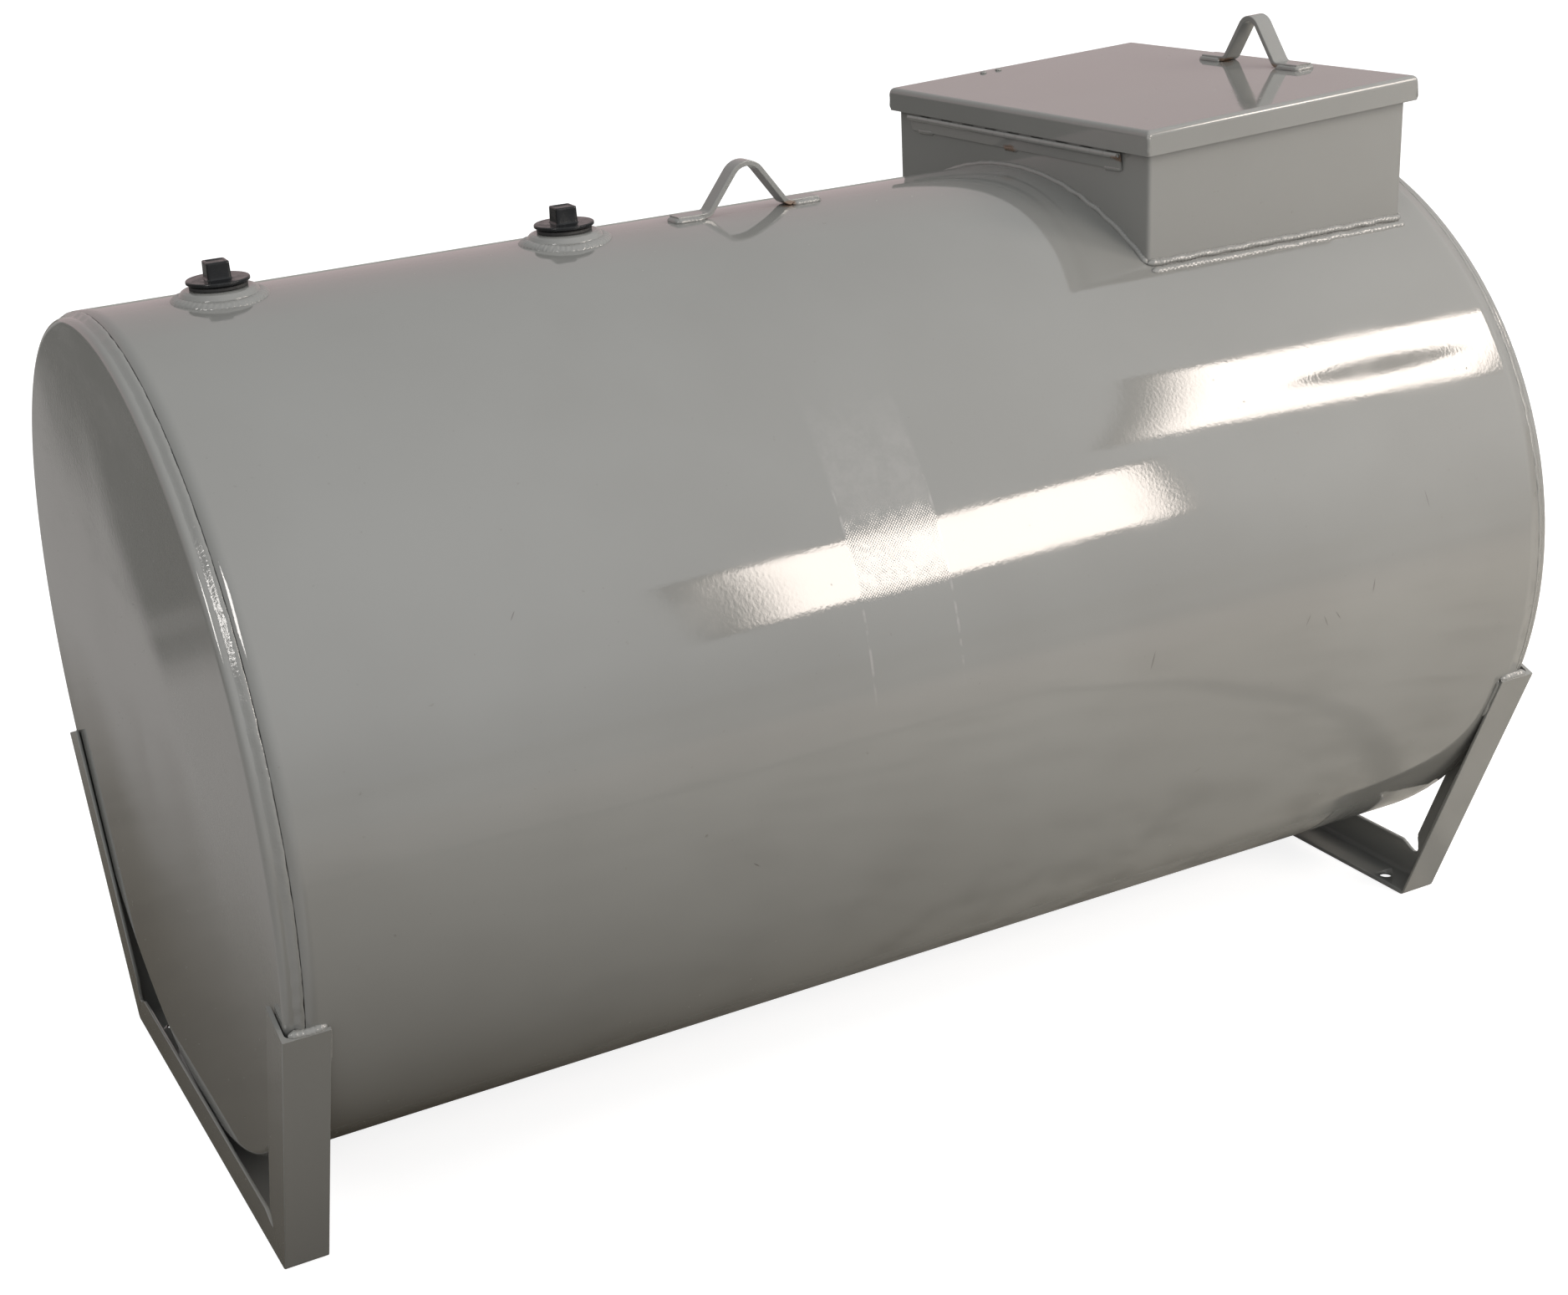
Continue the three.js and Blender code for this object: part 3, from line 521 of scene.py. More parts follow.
# ---------------------------------------------------------------- tank
HOLE_CLEARANCE = 0.3 * MM
PILOT_RADIUS = 35 * MM
NECK_RADIUS = 44.45 * MM
# Each hole's place along the crest and its radius
HOLES = [(crest_at("left_bung")[0], PILOT_RADIUS + HOLE_CLEARANCE),
         (crest_at("centre_bung")[0], PILOT_RADIUS + HOLE_CLEARANCE),
         (BOX_MIDDLE, NECK_RADIUS + HOLE_CLEARANCE)]
ROUND_STEPS = 192
SHELL_CELL = 14 * MM
HOLE_CELLS = 4  # cells of the shell's grid from a hole's middle to the edge of the square round it


def shell_point(x, angle):
    """The shell at a place along it and an angle from its crest. Its radius is true at its ends and falls
    short by a few tenths of a millimetre in slow waves between them."""
    fade = np.clip((SHELL_END - np.abs(x)) / 0.1, 0, 1) * np.clip(np.abs(angle) / 0.3, 0, 1)
    wave = 0.5 + 0.25 * np.sin(7.3 * x + 2.1 * angle) + 0.25 * np.sin(3.9 * x - 3.0 * angle + 1.0)
    radius = RADIUS - 0.25 * MM * wave * fade
    return np.stack([x, radius * np.sin(angle), AXIS_Z + radius * np.cos(angle)], -1)


def shell():
    """The rolled shell: a grid along it and round it, with a square left out at each hole. Each square is
    filled by a grid that runs from its edge in to the hole's circle."""
    step = ROUND / ROUND_STEPS
    half = HOLE_CELLS * step * RADIUS
    stops = sorted([-SHELL_END, SHELL_END] + [x + side * half for x, _ in HOLES for side in (-1, 1)])
    runs = []
    for start, end in zip(stops[:-1], stops[1:]):
        inside = any(abs((start + end) / 2 - x) < half for x, _ in HOLES)
        cells = 2 * HOLE_CELLS if inside else max(2, round((end - start) / SHELL_CELL))
        runs.append(np.linspace(start, end, cells, endpoint=False))
    along = np.concatenate([*runs, [SHELL_END]])
    angle = np.arange(ROUND_STEPS) * step
    angle = np.where(angle > math.pi, angle - ROUND, angle)
    x, a = np.meshgrid(along, angle, indexing="ij")
    points, faces = sheet(shell_point(x, a), columns=True)
    faces = np.array(faces)
    middle = points[faces].mean(1)
    middle_angle = np.arctan2(middle[:, 1], middle[:, 2] - AXIS_Z)
    keep = np.ones(len(faces), bool)
    squares = []
    for x0, radius in HOLES:
        keep &= ~((np.abs(middle[:, 0] - x0) < half) & (np.abs(middle_angle) < HOLE_CELLS * step))
        run = np.linspace(-half, half, 2 * HOLE_CELLS, endpoint=False)
        low, high = np.full_like(run, -half), np.full_like(run, half)
        edge = np.concatenate([np.stack([run, low], -1), np.stack([high, run], -1),
                               np.stack([-run, high], -1), np.stack([low, -run], -1)])
        rim = radius * edge / np.linalg.norm(edge, axis=1)[:, None]
        share = np.linspace(0, 1, 7)[:, None, None]
        flat = edge * (1 - share) + rim * share
        squares.append(sheet(shell_point(x0 + flat[..., 0], flat[..., 1] / RADIUS), columns=True))
    return [(points, faces[keep].tolist()), *squares]


HEAD_FLANGE = 50 * MM
HEAD_KNUCKLE = 8 * MM
HEAD_WALL = 4.8 * MM
HEAD_RIPPLE = 1.1 * MM


def head(node, side):
    """A flanged head: its face and turned rim are a profile turned about the tank. Between its middle and
    its rim the face sinks by a low two-fold wave."""
    low, high = corners(node)
    face = high[0] if side > 0 else -low[0]
    radius = (high[1] - low[1]) / 2
    inner, back = radius - HEAD_WALL, face - HEAD_FLANGE
    outline = rounded([[0, face], [radius, face], [radius, back], [inner, back], [inner, face - HEAD_WALL],
                       [0, face - HEAD_WALL]],
                      [0, HEAD_KNUCKLE, 0.8 * MM, 0.8 * MM, HEAD_KNUCKLE - HEAD_WALL, 0], 8, closed=False)
    spread = np.linspace(0, radius - HEAD_KNUCKLE - 2 * MM, 40)[:, None]
    front = np.hstack([spread, np.full_like(spread, face)])
    behind = np.hstack([spread[::-1], np.full_like(spread, face - HEAD_WALL)])
    profile = np.vstack([front, outline[1:-1], behind])
    points, faces = turned(profile, (0, 0, AXIS_Z), 160, "x")
    span = np.hypot(points[:, 1], points[:, 2] - AXIS_Z) / radius
    angle = np.arctan2(points[:, 1], points[:, 2] - AXIS_Z)
    flatness = np.clip(1 - span, 0, 1) ** 0.5 * np.clip(span * 3, 0, 1)
    wave = 0.5 - 0.5 * np.cos(2 * angle + 0.6 + 3 * span) + 0.4 * np.sin(9 * span + 1.0)
    points[:, 0] -= HEAD_RIPPLE * flatness * wave * (points[:, 0] > face - 2 * HEAD_WALL)
    points[:, 0] *= side
    return [(points, faces)]


SEAM_STEPS = 1800
SEAM_REACH = 13 * MM
SEAM_RIDGE = 2.3 * MM  # from the shell's edge to the ridge
SEAM_SUNK = 0.2 * MM  # from the shell's radius down to the ridge


def seam_round(node, side):
    """The weld between a head's rim and the shell's edge, once round the tank: a band that rises steeply
    beside the edge to a ridge just under the shell's radius, then falls to the rim as a smooth step. Its
    ridge wanders along the tank and its skin sinks in lumps, both by wobbles of the way round."""
    low, high = corners(node)
    drop = RADIUS - (high[1] - low[1]) / 2
    angle = np.linspace(-math.pi, math.pi, SEAM_STEPS, endpoint=False)
    fall = np.linspace(0, 1, 8)
    climb = np.array([[0.1, 4.4], [0.3, 2.2], [0.6, 0.9], [1.3, 0.35]]) * MM  # out along the tank, and down
    out = np.concatenate([climb[:, 0], SEAM_RIDGE + (SEAM_REACH - SEAM_RIDGE) * fall, [SEAM_REACH, 0.1 * MM]])
    deep = np.concatenate([climb[:, 1], SEAM_SUNK + (drop + 0.3 * MM) * fall**2 * (3 - 2 * fall),
                           np.full(2, drop + 2.5 * MM)])
    lumps = np.concatenate([[0, 0.6, 1, 1], 1 - fall, [0, 0]])
    sunk = np.stack([0.5 + 0.5 * wobble(angle * RADIUS, 11 + side + 3 * (k // 2), 7 * MM)
                     for k in range(len(out))], -1)
    radius = RADIUS - deep - 0.45 * MM * lumps * np.clip(sunk, 0, 1)
    wander = 0.5 * MM * wobble(angle * RADIUS, 17 + side, 45 * MM)
    x = SHELL_END + out + wander[:, None] * (lumps > 0)
    turn = angle[:, None]
    return [sheet(np.stack([side * x, radius * np.sin(turn), AXIS_Z + radius * np.cos(turn)], -1),
                  rows=True, columns=True)]


# ---------------------------------------------------------------- stands
ANGLE_LEG = 50.8 * MM
ANGLE_WALL = 4.8 * MM
ARM_LEAN = math.radians(22)
STAND_BEND = 9 * MM
NOTCH_MOUTH = 20 * MM
NOTCH_FLOOR = 7 * MM
NOTCH_DEPTH = 10 * MM
FOOT_HOLE = 8.7 * MM
FOOT_HOLE_SETBACK = 52 * MM
FOOT_HOLE_GAUGE = 33 * MM
STRAIGHT_FROM = 60 * MM  # beyond this distance from a corner the stations are spread evenly
MITRE = math.tan((math.pi / 2 - ARM_LEAN) / 2)  # how far the corner moves in for each step of depth
ARM_WAY = np.array([math.sin(ARM_LEAN), math.cos(ARM_LEAN)])  # up along the arm, in y and z


def stand_sizes(node):
    """The floor's half width and an arm's length, both along the outer faces, and how far out the end face
    lies, from the node's box."""
    low, high = corners(node)
    arm = (high[2] - ANGLE_LEG * ARM_WAY[0]) / ARM_WAY[1]
    return high[1] - arm * ARM_WAY[0], arm, max(-low[0], high[0])


def stand(node, side):
    """An angle bent to a trough and carried from one arm's tip to the other's. A point of the angle's section
    that lies at depth u below the outer face runs along lines offset by u, which meet in the mitre; where u
    is less than the bend's radius they are joined by an arc of what is left of it. Near each mitre the
    upright leg's top drops into the notch."""
    floor_half, arm, face = stand_sizes(node)
    section = rounded([[0, 0], [ANGLE_LEG, 0], [ANGLE_LEG, ANGLE_WALL], [ANGLE_WALL, ANGLE_WALL],
                       [ANGLE_WALL, ANGLE_LEG], [0, ANGLE_LEG]],
                      [1.2 * MM, 0.8 * MM, 3 * MM, 5 * MM, 3 * MM, 0.8 * MM], 5)
    inward, depth = section[None, :, 0], section[:, 1]
    top = depth > ANGLE_LEG - 5 * MM
    notch = np.concatenate([np.linspace(NOTCH_MOUTH, NOTCH_FLOOR, 9), [NOTCH_FLOOR - 0.4 * MM]])
    spread = np.linspace(1, 0, 12)
    bend = np.linspace(0, 1, 9)
    rough = np.random.default_rng(5 + side).normal(0, 0.35 * MM, 2 * len(notch) + len(bend))
    drop = np.clip((NOTCH_MOUTH - notch) / (NOTCH_MOUTH - NOTCH_FLOOR), 0, 1) * NOTCH_DEPTH
    drop = np.concatenate([drop, np.full_like(bend, NOTCH_DEPTH), drop[::-1]])
    drop = np.maximum(drop + rough * (drop > 0), 0)
    drop = np.concatenate([0 * spread, drop, 0 * spread])[:, None]
    u = depth[None] - drop * top[None]
    mitre = np.stack([floor_half - u * MITRE, u], -1)
    left = np.maximum(STAND_BEND - u, 0)
    tip = arm - u * MITRE
    far = len(spread)
    near = far + len(notch)
    along_arm = np.concatenate([STRAIGHT_FROM + spread[:, None] * (tip[:far] - STRAIGHT_FROM),
                                np.broadcast_to(notch[:, None], u[far:near].shape)])
    on_arm = mitre[:near] + along_arm[..., None] * ARM_WAY
    end = near + len(bend)
    angle = (math.pi / 2 - ARM_LEAN) * (1 - bend)[:, None]  # how far the arc still has to turn to the floor
    r = left[near:end]
    centre = mitre[near:end] + np.stack([-r * MITRE, r], -1)
    on_bend = centre + r[..., None] * np.stack([np.sin(angle), -np.cos(angle)], -1)
    to_middle = mitre[end:, :, 0]
    along_floor = np.concatenate([np.broadcast_to(notch[::-1][:, None], u[end:-far].shape),
                                  STRAIGHT_FROM + spread[::-1][:, None] * (to_middle[-far:] - STRAIGHT_FROM)])
    on_floor = mitre[end:] - along_floor[..., None] * np.array([1.0, 0.0])
    half = np.concatenate([on_arm, on_bend, on_floor])
    whole = np.concatenate([half, half[-2::-1] * [-1, 1]])
    x = side * (face - np.broadcast_to(inward, whole.shape[:2]))
    return [sheet(np.concatenate([x[..., None], whole], -1), columns=True, caps=True)]


def stand_holes(node, side):
    """Round cutters through the sole for the two anchor bolts."""
    floor_half, _, face = stand_sizes(node)
    profile = [[0, -ANGLE_WALL], [FOOT_HOLE, -ANGLE_WALL], [FOOT_HOLE, 2 * ANGLE_WALL], [0, 2 * ANGLE_WALL]]
    x, y = side * (face - FOOT_HOLE_GAUGE), floor_half - FOOT_HOLE_SETBACK
    return [turned(profile, (x, hand * y, 0), 48) for hand in (-1, 1)]


MITRE_SUNK = 0.45 * MM  # from an end face down to the middle of a mitre's bead


def stand_welds(node, side):
    """Beads over the arms' tips and down their inner edges where they touch the tank, and the closed mitres
    at the floor."""
    floor_half, arm, face = stand_sizes(node)
    lean, rise = ARM_WAY
    beads = []
    for hand in (-1, 1):
        up, inside = np.array([0, hand * lean, rise]), np.array([0, -hand * rise, lean])

        def place(x, along, deep, hand=hand, up=up, inside=inside):
            """A point at x on the arm, so far along its outer face and so deep inside it."""
            return np.array([side * x, hand * floor_half, 0]) + up * along + inside * deep

        start, end = face - ANGLE_LEG, face - 8 * MM
        deep = ANGLE_WALL + 1 * MM
        beads.append(bead([place(start + 2 * MM, arm + 0.5 * MM, deep), place(end, arm + 0.5 * MM, deep)],
                          up + 0.6 * -inside, 11 * MM, 4 * MM, 21 + hand, ripple=5 * MM))
        beads.append(bead([place(start, arm - 2 * MM, deep), place(start, arm - 62 * MM, deep)],
                          [-side, 0, 0], 7 * MM, 3 * MM, 25 + hand))
        mitre = [[side * (face - MITRE_SUNK), hand * (floor_half - MITRE * u), u]
                 for u in (3 * MM, ANGLE_LEG - NOTCH_DEPTH)]
        beads.append(bead(mitre, [side, 0, 0], 4 * MM, 0.35 * MM, 29 + hand, ripple=2.5 * MM))
    return beads


# ---------------------------------------------------------------- ports
def port_flange(node):
    """A domed weld-on flange: a bored pilot, a skirt that dips below the shell, a crowned shoulder and a flat
    seat, turned about the port."""
    seat = corners(node)[1][2] - CREST
    bore = 29.6 * MM
    shoulder = np.array([[44, -5], [44.5, 4.2], [40.5, 9.2]]) * MM
    profile = rounded([[bore, -14 * MM], [PILOT_RADIUS, -14 * MM], [PILOT_RADIUS, -5 * MM], *shoulder,
                       [36.5 * MM, seat], [bore, seat]],
                      np.array([0.3, 0.3, 0.3, 0.3, 2.5, 4, 1.5, 1]) * MM, 5, hold=0.15 * MM)
    return [turned(joined(profile), crest_at(node), 128)]


def weld_round(middle, radius, stations, spread, width, height, seed, ripple, turn_steps=14):
    """A bead once round an upright body, laid on the shell. It stands proud by spread outwards to one up."""
    angle = np.linspace(0, ROUND, stations, endpoint=False)
    out = np.stack([np.cos(angle), np.sin(angle), 0 * angle], -1)
    path = on_shell(middle[0] + radius * out[:, 0], radius * out[:, 1], 1 * MM)
    return [bead(path, out * spread + [0, 0, 1], width, height, seed, True, ripple, turn_steps=turn_steps)]


THREAD_PITCH = 2.209 * MM
THREAD_RADIUS = 28.8 * MM
THREAD_DEPTH = 1.2 * MM


def plug(node):
    """A threaded plug. Its thread is a sleeve whose radius dips as a triangle wave of the height less the
    pitch's share of the turn; the flange and hollow are turned, and the square head is a stack of rounded
    squares that widens at the foot, with a shallow dish in its top."""
    low, high = corners(node)
    middle = crest_at(node)
    bottom, top = low[2] - CREST, high[2] - CREST
    flange = top - 18.5 * MM
    edge = flange - 3.4 * MM
    seat = edge - 2.2 * MM
    angle = np.linspace(0, ROUND, 160, endpoint=False)[:, None]
    height = np.linspace(bottom, seat, 110)[None]
    phase = (height - THREAD_PITCH * angle / ROUND) / THREAD_PITCH
    dip = THREAD_DEPTH * np.abs(2 * (phase - np.floor(phase)) - 1)
    ends = np.clip(np.minimum(height - bottom, seat - height) / (1.5 * MM), 0, 1)
    radius = THREAD_RADIUS - dip * ends - THREAD_DEPTH * (1 - ends)
    sleeve = np.stack([radius * np.cos(angle), radius * np.sin(angle), height + 0 * angle], -1) + middle
    root, hollow, outer = THREAD_RADIUS - THREAD_DEPTH, 23 * MM, 34.5 * MM
    profile = rounded([[hollow, bottom], [root, bottom], [root, seat], [31.2 * MM, seat], [outer, edge],
                       [outer, flange], [0, flange], [0, edge], [hollow, edge]],
                      np.array([0.4, 0, 0, 0.3, 0.5, 1.5, 0, 0, 0.5]) * MM, 5, hold=0.2 * MM, closed=False)
    rise = np.array([-1.5, 0.2, 1.0, 2.2, 15.5, 17.4, 18.1, 18.5, 18.5, 18.5, 17.7, 17.6]) * MM + flange
    half = np.array([15.5, 14.2, 13.2, 12.9, 12.5, 12.45, 12.1, 11.4, 10.4, 9.6, 8.6, 8.0]) * MM
    corner = np.array([4.5, 3.9, 3.3, 2.9, 2.6, 2.6, 2.3, 2.0, 1.6, 1.5, 1.2, 1.0]) * MM
    square = rectangle_loops(np.stack([half, half], -1), corner, 2, 5)
    square = spun(square, math.radians(2.5))
    head_points = np.dstack([square, np.broadcast_to(rise[:, None], square.shape[:2])]) + middle
    return [sheet(sleeve, rows=True), turned(joined(profile), middle, 128),
            sheet(head_points, columns=True, caps=True)]


def sealing_ring(node, wall):
    """A squeezed rubber ring: a rounded section, as wide as the wall, turned about its middle."""
    low, high = corners(node)
    outer, half = (high[0] - low[0]) / 2, (high[2] - low[2]) / 2
    profile = rounded([[outer - wall, -half], [outer, -half], [outer, half], [outer - wall, half]],
                      min(half, wall / 2) * 0.7, 5, hold=0.1 * MM)
    return [turned(joined(profile), (low + high) / 2, 96)]


# ---------------------------------------------------------------- bent bars
BAR_WIDTH = 23 * MM
BAR_WALL = 6.4 * MM
FOOT_BEND = 8 * MM


def bar_line(length, foot, rise, apex_bend):
    """The middle line of a bent bar and its upward normals, as distance along and height: two feet and a
    pointed arch, with an arc at every bend."""
    low, arch = BAR_WALL / 2, length / 2 - foot
    slope = math.atan2(rise, arch)
    middle_bend = apex_bend + low
    corner = rise - low + middle_bend * (1 / math.cos(slope) - 1)
    line = rounded([[-length / 2, low], [-arch, low], [0, corner], [arch, low], [length / 2, low]],
                   [0, FOOT_BEND + low, middle_bend, FOOT_BEND + low, 0], 12, closed=False)
    along = headed(line)
    return line, np.stack([-along[:, 1], along[:, 0]], -1)


def bent_bar(line, up, place, turn):
    """The bar carried along its line. place sets a point given along, across and up; turn does it for a
    direction. The outline is a flat with softly broken edges."""
    half_width, half_wall = BAR_WIDTH / 2, BAR_WALL / 2
    outline = rounded([[-half_width, -half_wall], [half_width, -half_wall], [half_width, half_wall],
                       [-half_width, half_wall]], 1.1 * MM, 4)
    zero = np.zeros(len(line))
    spine = place(np.stack([line[:, 0], zero, line[:, 1]], -1))
    across = turn(np.array([[0.0, 1.0, 0.0]]))
    upward = turn(np.stack([up[:, 0], zero, up[:, 1]], -1))
    return [carried(outline, spine, across, upward)]


def foot_welds(length, foot, place, turn, seed):
    """A bead round the outside of each foot: along one edge, round the cut end and back along the other."""
    beads = []
    for side in (-1, 1):
        inner, outer = length / 2 - foot + 6 * MM, length / 2 + 0.8 * MM
        edge = BAR_WIDTH / 2 + 0.8 * MM
        path = rounded([[side * inner, -edge], [side * outer, -edge], [side * outer, edge],
                        [side * inner, edge]], 4 * MM, 8, closed=False)
        out = headed(path)
        out = np.stack([out[:, 1], -out[:, 0]], -1) * side
        spine = place(np.hstack([path, np.full((len(path), 1), 1.2 * MM)]))
        away = turn(np.hstack([out, np.full((len(path), 1), 0.9)]))
        beads.append(bead(spine, away, 7.5 * MM, 3.1 * MM, seed + side, ripple=4.5 * MM))
    return beads


LUG_LOW, LUG_HIGH = corners("lifting_lug")
LUG_MIDDLE = np.array([(LUG_LOW[0] + LUG_HIGH[0]) / 2, 0, LUG_LOW[2]])
LUG = {"length": LUG_HIGH[0] - LUG_LOW[0], "foot": 41 * MM, "rise": LUG_HIGH[2] - LUG_LOW[2],
       "apex_bend": 19 * MM}
GRIP_LOW, GRIP_HIGH = corners("lid_handle")
GRIP_MIDDLE = from_lid((GRIP_LOW + GRIP_HIGH) / 2)
GRIP = {"length": GRIP_HIGH[1] - GRIP_LOW[1], "foot": 43 * MM, "rise": 62 * MM, "apex_bend": 15 * MM}


def lug_place(points):
    return points + LUG_MIDDLE


def grip_place(points):
    """Along the grip is along Y on the lid, and its width lies along X."""
    x, y, z = np.moveaxis(points, -1, 0)
    return on_lid(np.stack([GRIP_MIDDLE[0] - y, GRIP_MIDDLE[1] + x, z + SEAM_GAP], -1))


def grip_turn(directions):
    x, y, z = np.moveaxis(directions, -1, 0)
    return lid_way(np.stack([-y, x, z], -1))


# ---------------------------------------------------------------- compartment and lid
def box_top(x):
    """The height of the walls' top edge, which slopes as the lid does."""
    below = LID_WALL + SEAL_WALL + 2 * SEAM_GAP
    return LID_TOP - below / math.cos(LID_SLOPE) + (x - BOX_MIDDLE) * math.tan(LID_SLOPE)


def compartment():
    """Four walls as one loop with rounded corners. Each point of the loop carries a section from the saddle
    on the shell up the outside, over the softened top edge and down the inside."""
    radius = np.array([5 * MM, 5 * MM - BOX_WALL])
    half = np.stack([BOX_HALF, BOX_HALF - BOX_WALL])
    outer, inner = rectangle_loops(half, radius, 40, 6)
    soft = 0.7 * MM
    shares = [(0, 0, 0), (0, 0.04, 0), (0, 0.96, 0), (0, 1, -soft), (0.12, 1, -0.2 * soft), (0.25, 1, 0),
              (0.75, 1, 0), (0.88, 1, -0.2 * soft), (1, 1, -soft), (1, 0.96, 0), (1, 0.04, 0), (1, 0, 0)]
    rows = []
    for depth, rise, dip in shares:
        flat = outer * (1 - depth) + inner * depth
        low = on_shell(flat[:, 0] + BOX_MIDDLE, flat[:, 1], SEAM_GAP)
        high = box_top(low[:, 0])
        rows.append(np.stack([low[:, 0], low[:, 1], low[:, 2] * (1 - rise) + high * rise + dip], -1))
    return [sheet(rows, rows=True, columns=True)]


def compartment_welds():
    """A fat double bead along the straight front foot, and single ones along the back and over the
    saddles."""
    beads = []
    reach = BOX_HALF[0] + 1 * MM
    for hand in (-1, 1):
        y = hand * (BOX_HALF[1] + 1.2 * MM)
        run = np.linspace(BOX_MIDDLE - reach, BOX_MIDDLE + reach, 60)
        slope = np.array([0, hand * 1.0, 0.9])
        beads.append(bead(on_shell(run, y, 1.4 * MM), slope, 9 * MM, 4 * MM, 41 + hand, ripple=5.2 * MM))
        if hand < 0:
            beads.append(bead(on_shell(run, y - 8.5 * MM, 0.4 * MM), slope, 9 * MM, 2.6 * MM, 44,
                              ripple=6 * MM))
    for side in (-1, 1):
        run = np.linspace(-BOX_HALF[1], BOX_HALF[1], 120)
        x = BOX_MIDDLE + side * (BOX_HALF[0] + 1 * MM)
        beads.append(bead(on_shell(x, run, 1.2 * MM), [side, 0, 0.9], 7 * MM, 2.8 * MM, 47 + side,
                          ripple=4.4 * MM))
    return beads


def lid_pan():
    """The lid as a stack of rectangles with rounded corners, from the middle of its top out over the bend,
    down the skirt, round its lower edge and back up inside."""
    profile = rounded([[40 * MM, 0], [0, 0], [0, -LID_SKIRT], [LID_WALL, -LID_SKIRT], [LID_WALL, -LID_WALL],
                       [40 * MM, -LID_WALL]],
                      [0, LID_BEND, 0.8 * MM, 0.8 * MM, LID_BEND - LID_WALL, 0], 8, closed=False)
    inset, z = profile[:, 0], profile[:, 1]
    loops = rectangle_loops(LID_HALF - inset[:, None], np.maximum(4.5 * MM - inset * 0.6, 0.8 * MM), 16, 5)
    points = np.concatenate([loops, np.broadcast_to(z[:, None, None], (*loops.shape[:2], 1))], -1)
    bow = 1 - (points[..., 1] / LID_HALF[1]) ** 2
    low = np.clip(-points[..., 2] / LID_SKIRT, 0, 1)
    points[..., 0] += np.where(points[..., 0] < 0, 1.1 * MM * bow * low, 0)
    return [sheet(on_lid(points), columns=True, caps=True)]


def lid_corner_welds():
    """A short bead down each corner of the skirt, and the blob that ends it on the lid's shoulder."""
    beads = []
    edge = LID_HALF - 1.4 * MM
    for k, corner in enumerate(np.array(QUARTERS)):
        stops = [(4 * MM, -2.2 * MM), (0.6 * MM, -7 * MM), (0, -LID_SKIRT + 2 * MM)]
        path = rounded([[*(corner * (edge - inset)), z] for inset, z in stops], 4 * MM, 5, closed=False)
        out = lid_way(np.array([[*corner, 0.2]]))
        beads.append(bead(on_lid(path), out, 5 * MM, 1.3 * MM, 60 + k, ripple=3 * MM))
    return beads


def gasket():
    """The rubber frame under the lid: rectangles round a softly rounded strip."""
    low, high = corners("lid_seal")
    outer = np.array([(high[0] - low[0]) / 2 / math.cos(LID_SLOPE), (high[1] - low[1]) / 2])
    width = 12 * MM
    top = -LID_WALL - SEAM_GAP
    strip = rounded([[0, top - SEAL_WALL], [width, top - SEAL_WALL], [width, top], [0, top]], 1.4 * MM, 4)
    loops = rectangle_loops(outer - strip[:, :1], np.maximum(8 * MM - strip[:, 0] * 0.5, 1 * MM), 4, 5)
    points = np.concatenate([loops, np.broadcast_to(strip[:, 1][:, None, None], (*loops.shape[:2], 1))], -1)
    return [sheet(on_lid(points), rows=True, columns=True)]


def rivet(node):
    """A domed blind rivet with the mandrel's dimple, its shank and its set tail."""
    low, high = corners(node)
    middle = from_lid((low + high) / 2)
    tail = -LID_WALL - SEAM_GAP - 2 * MM - SEAM_GAP
    dome = np.array([[3.9, 2.0], [1.5, 2.7], [1.3, 2.0], [0, 2.0]]) * MM
    profile = rounded([[0, tail - 1.8 * MM], [3.4 * MM, tail - 1.8 * MM], [3.4 * MM, tail], [2.2 * MM, tail],
                       [2.2 * MM, SEAM_GAP], [4.7 * MM, SEAM_GAP], *dome],
                      np.array([0, 0.6, 0, 0, 0, 0.2, 1.2, 0.15, 0.1, 0]) * MM, 4, hold=0.05 * MM,
                      closed=False)
    points, faces = turned(profile, (middle[0], middle[1], 0), 40)
    return [(on_lid(points), faces)]


def stay_bracket():
    """A folded tab under the lid: an L section with a bent corner, carried along the lid."""
    low, high = corners("lid_stay_tab")
    middle = from_lid((low + high) / 2)
    edge, inner = high[1], low[1]
    top, wall, drop, length = -LID_WALL - SEAM_GAP, 2 * MM, 24 * MM, 46 * MM
    outline = rounded([[edge, top], [inner, top], [inner, top - drop], [inner + wall, top - drop],
                       [inner + wall, top - wall], [edge, top - wall]],
                      [0.4 * MM, 2.6 * MM, 0.6 * MM, 0.6 * MM, 0.6 * MM, 0.4 * MM], 5, hold=0.3 * MM)
    along = middle[0] + np.array([-length / 2, -length / 2 + 1 * MM, length / 2 - 1 * MM, length / 2])
    x, y, z = np.broadcast_arrays(along[:, None], outline[None, :, 0], outline[None, :, 1])
    return [sheet(on_lid(np.stack([x, y, z], -1)), columns=True, caps=True)]


# ---------------------------------------------------------------- piano hinge
KNUCKLES = 18
KNUCKLE_RADIUS = 3.6 * MM
LEAF_WALL = 1.9 * MM
KNUCKLE_GAP = 0.4 * MM
PIN_RADIUS = 1.8 * MM
PLATE_FROM = KNUCKLE_RADIUS + 0.6 * MM  # from the pin to where a leaf's plate starts
PIN_LOW, PIN_HIGH = corners("hinge_pin")
PIN = (PIN_LOW + PIN_HIGH) / 2


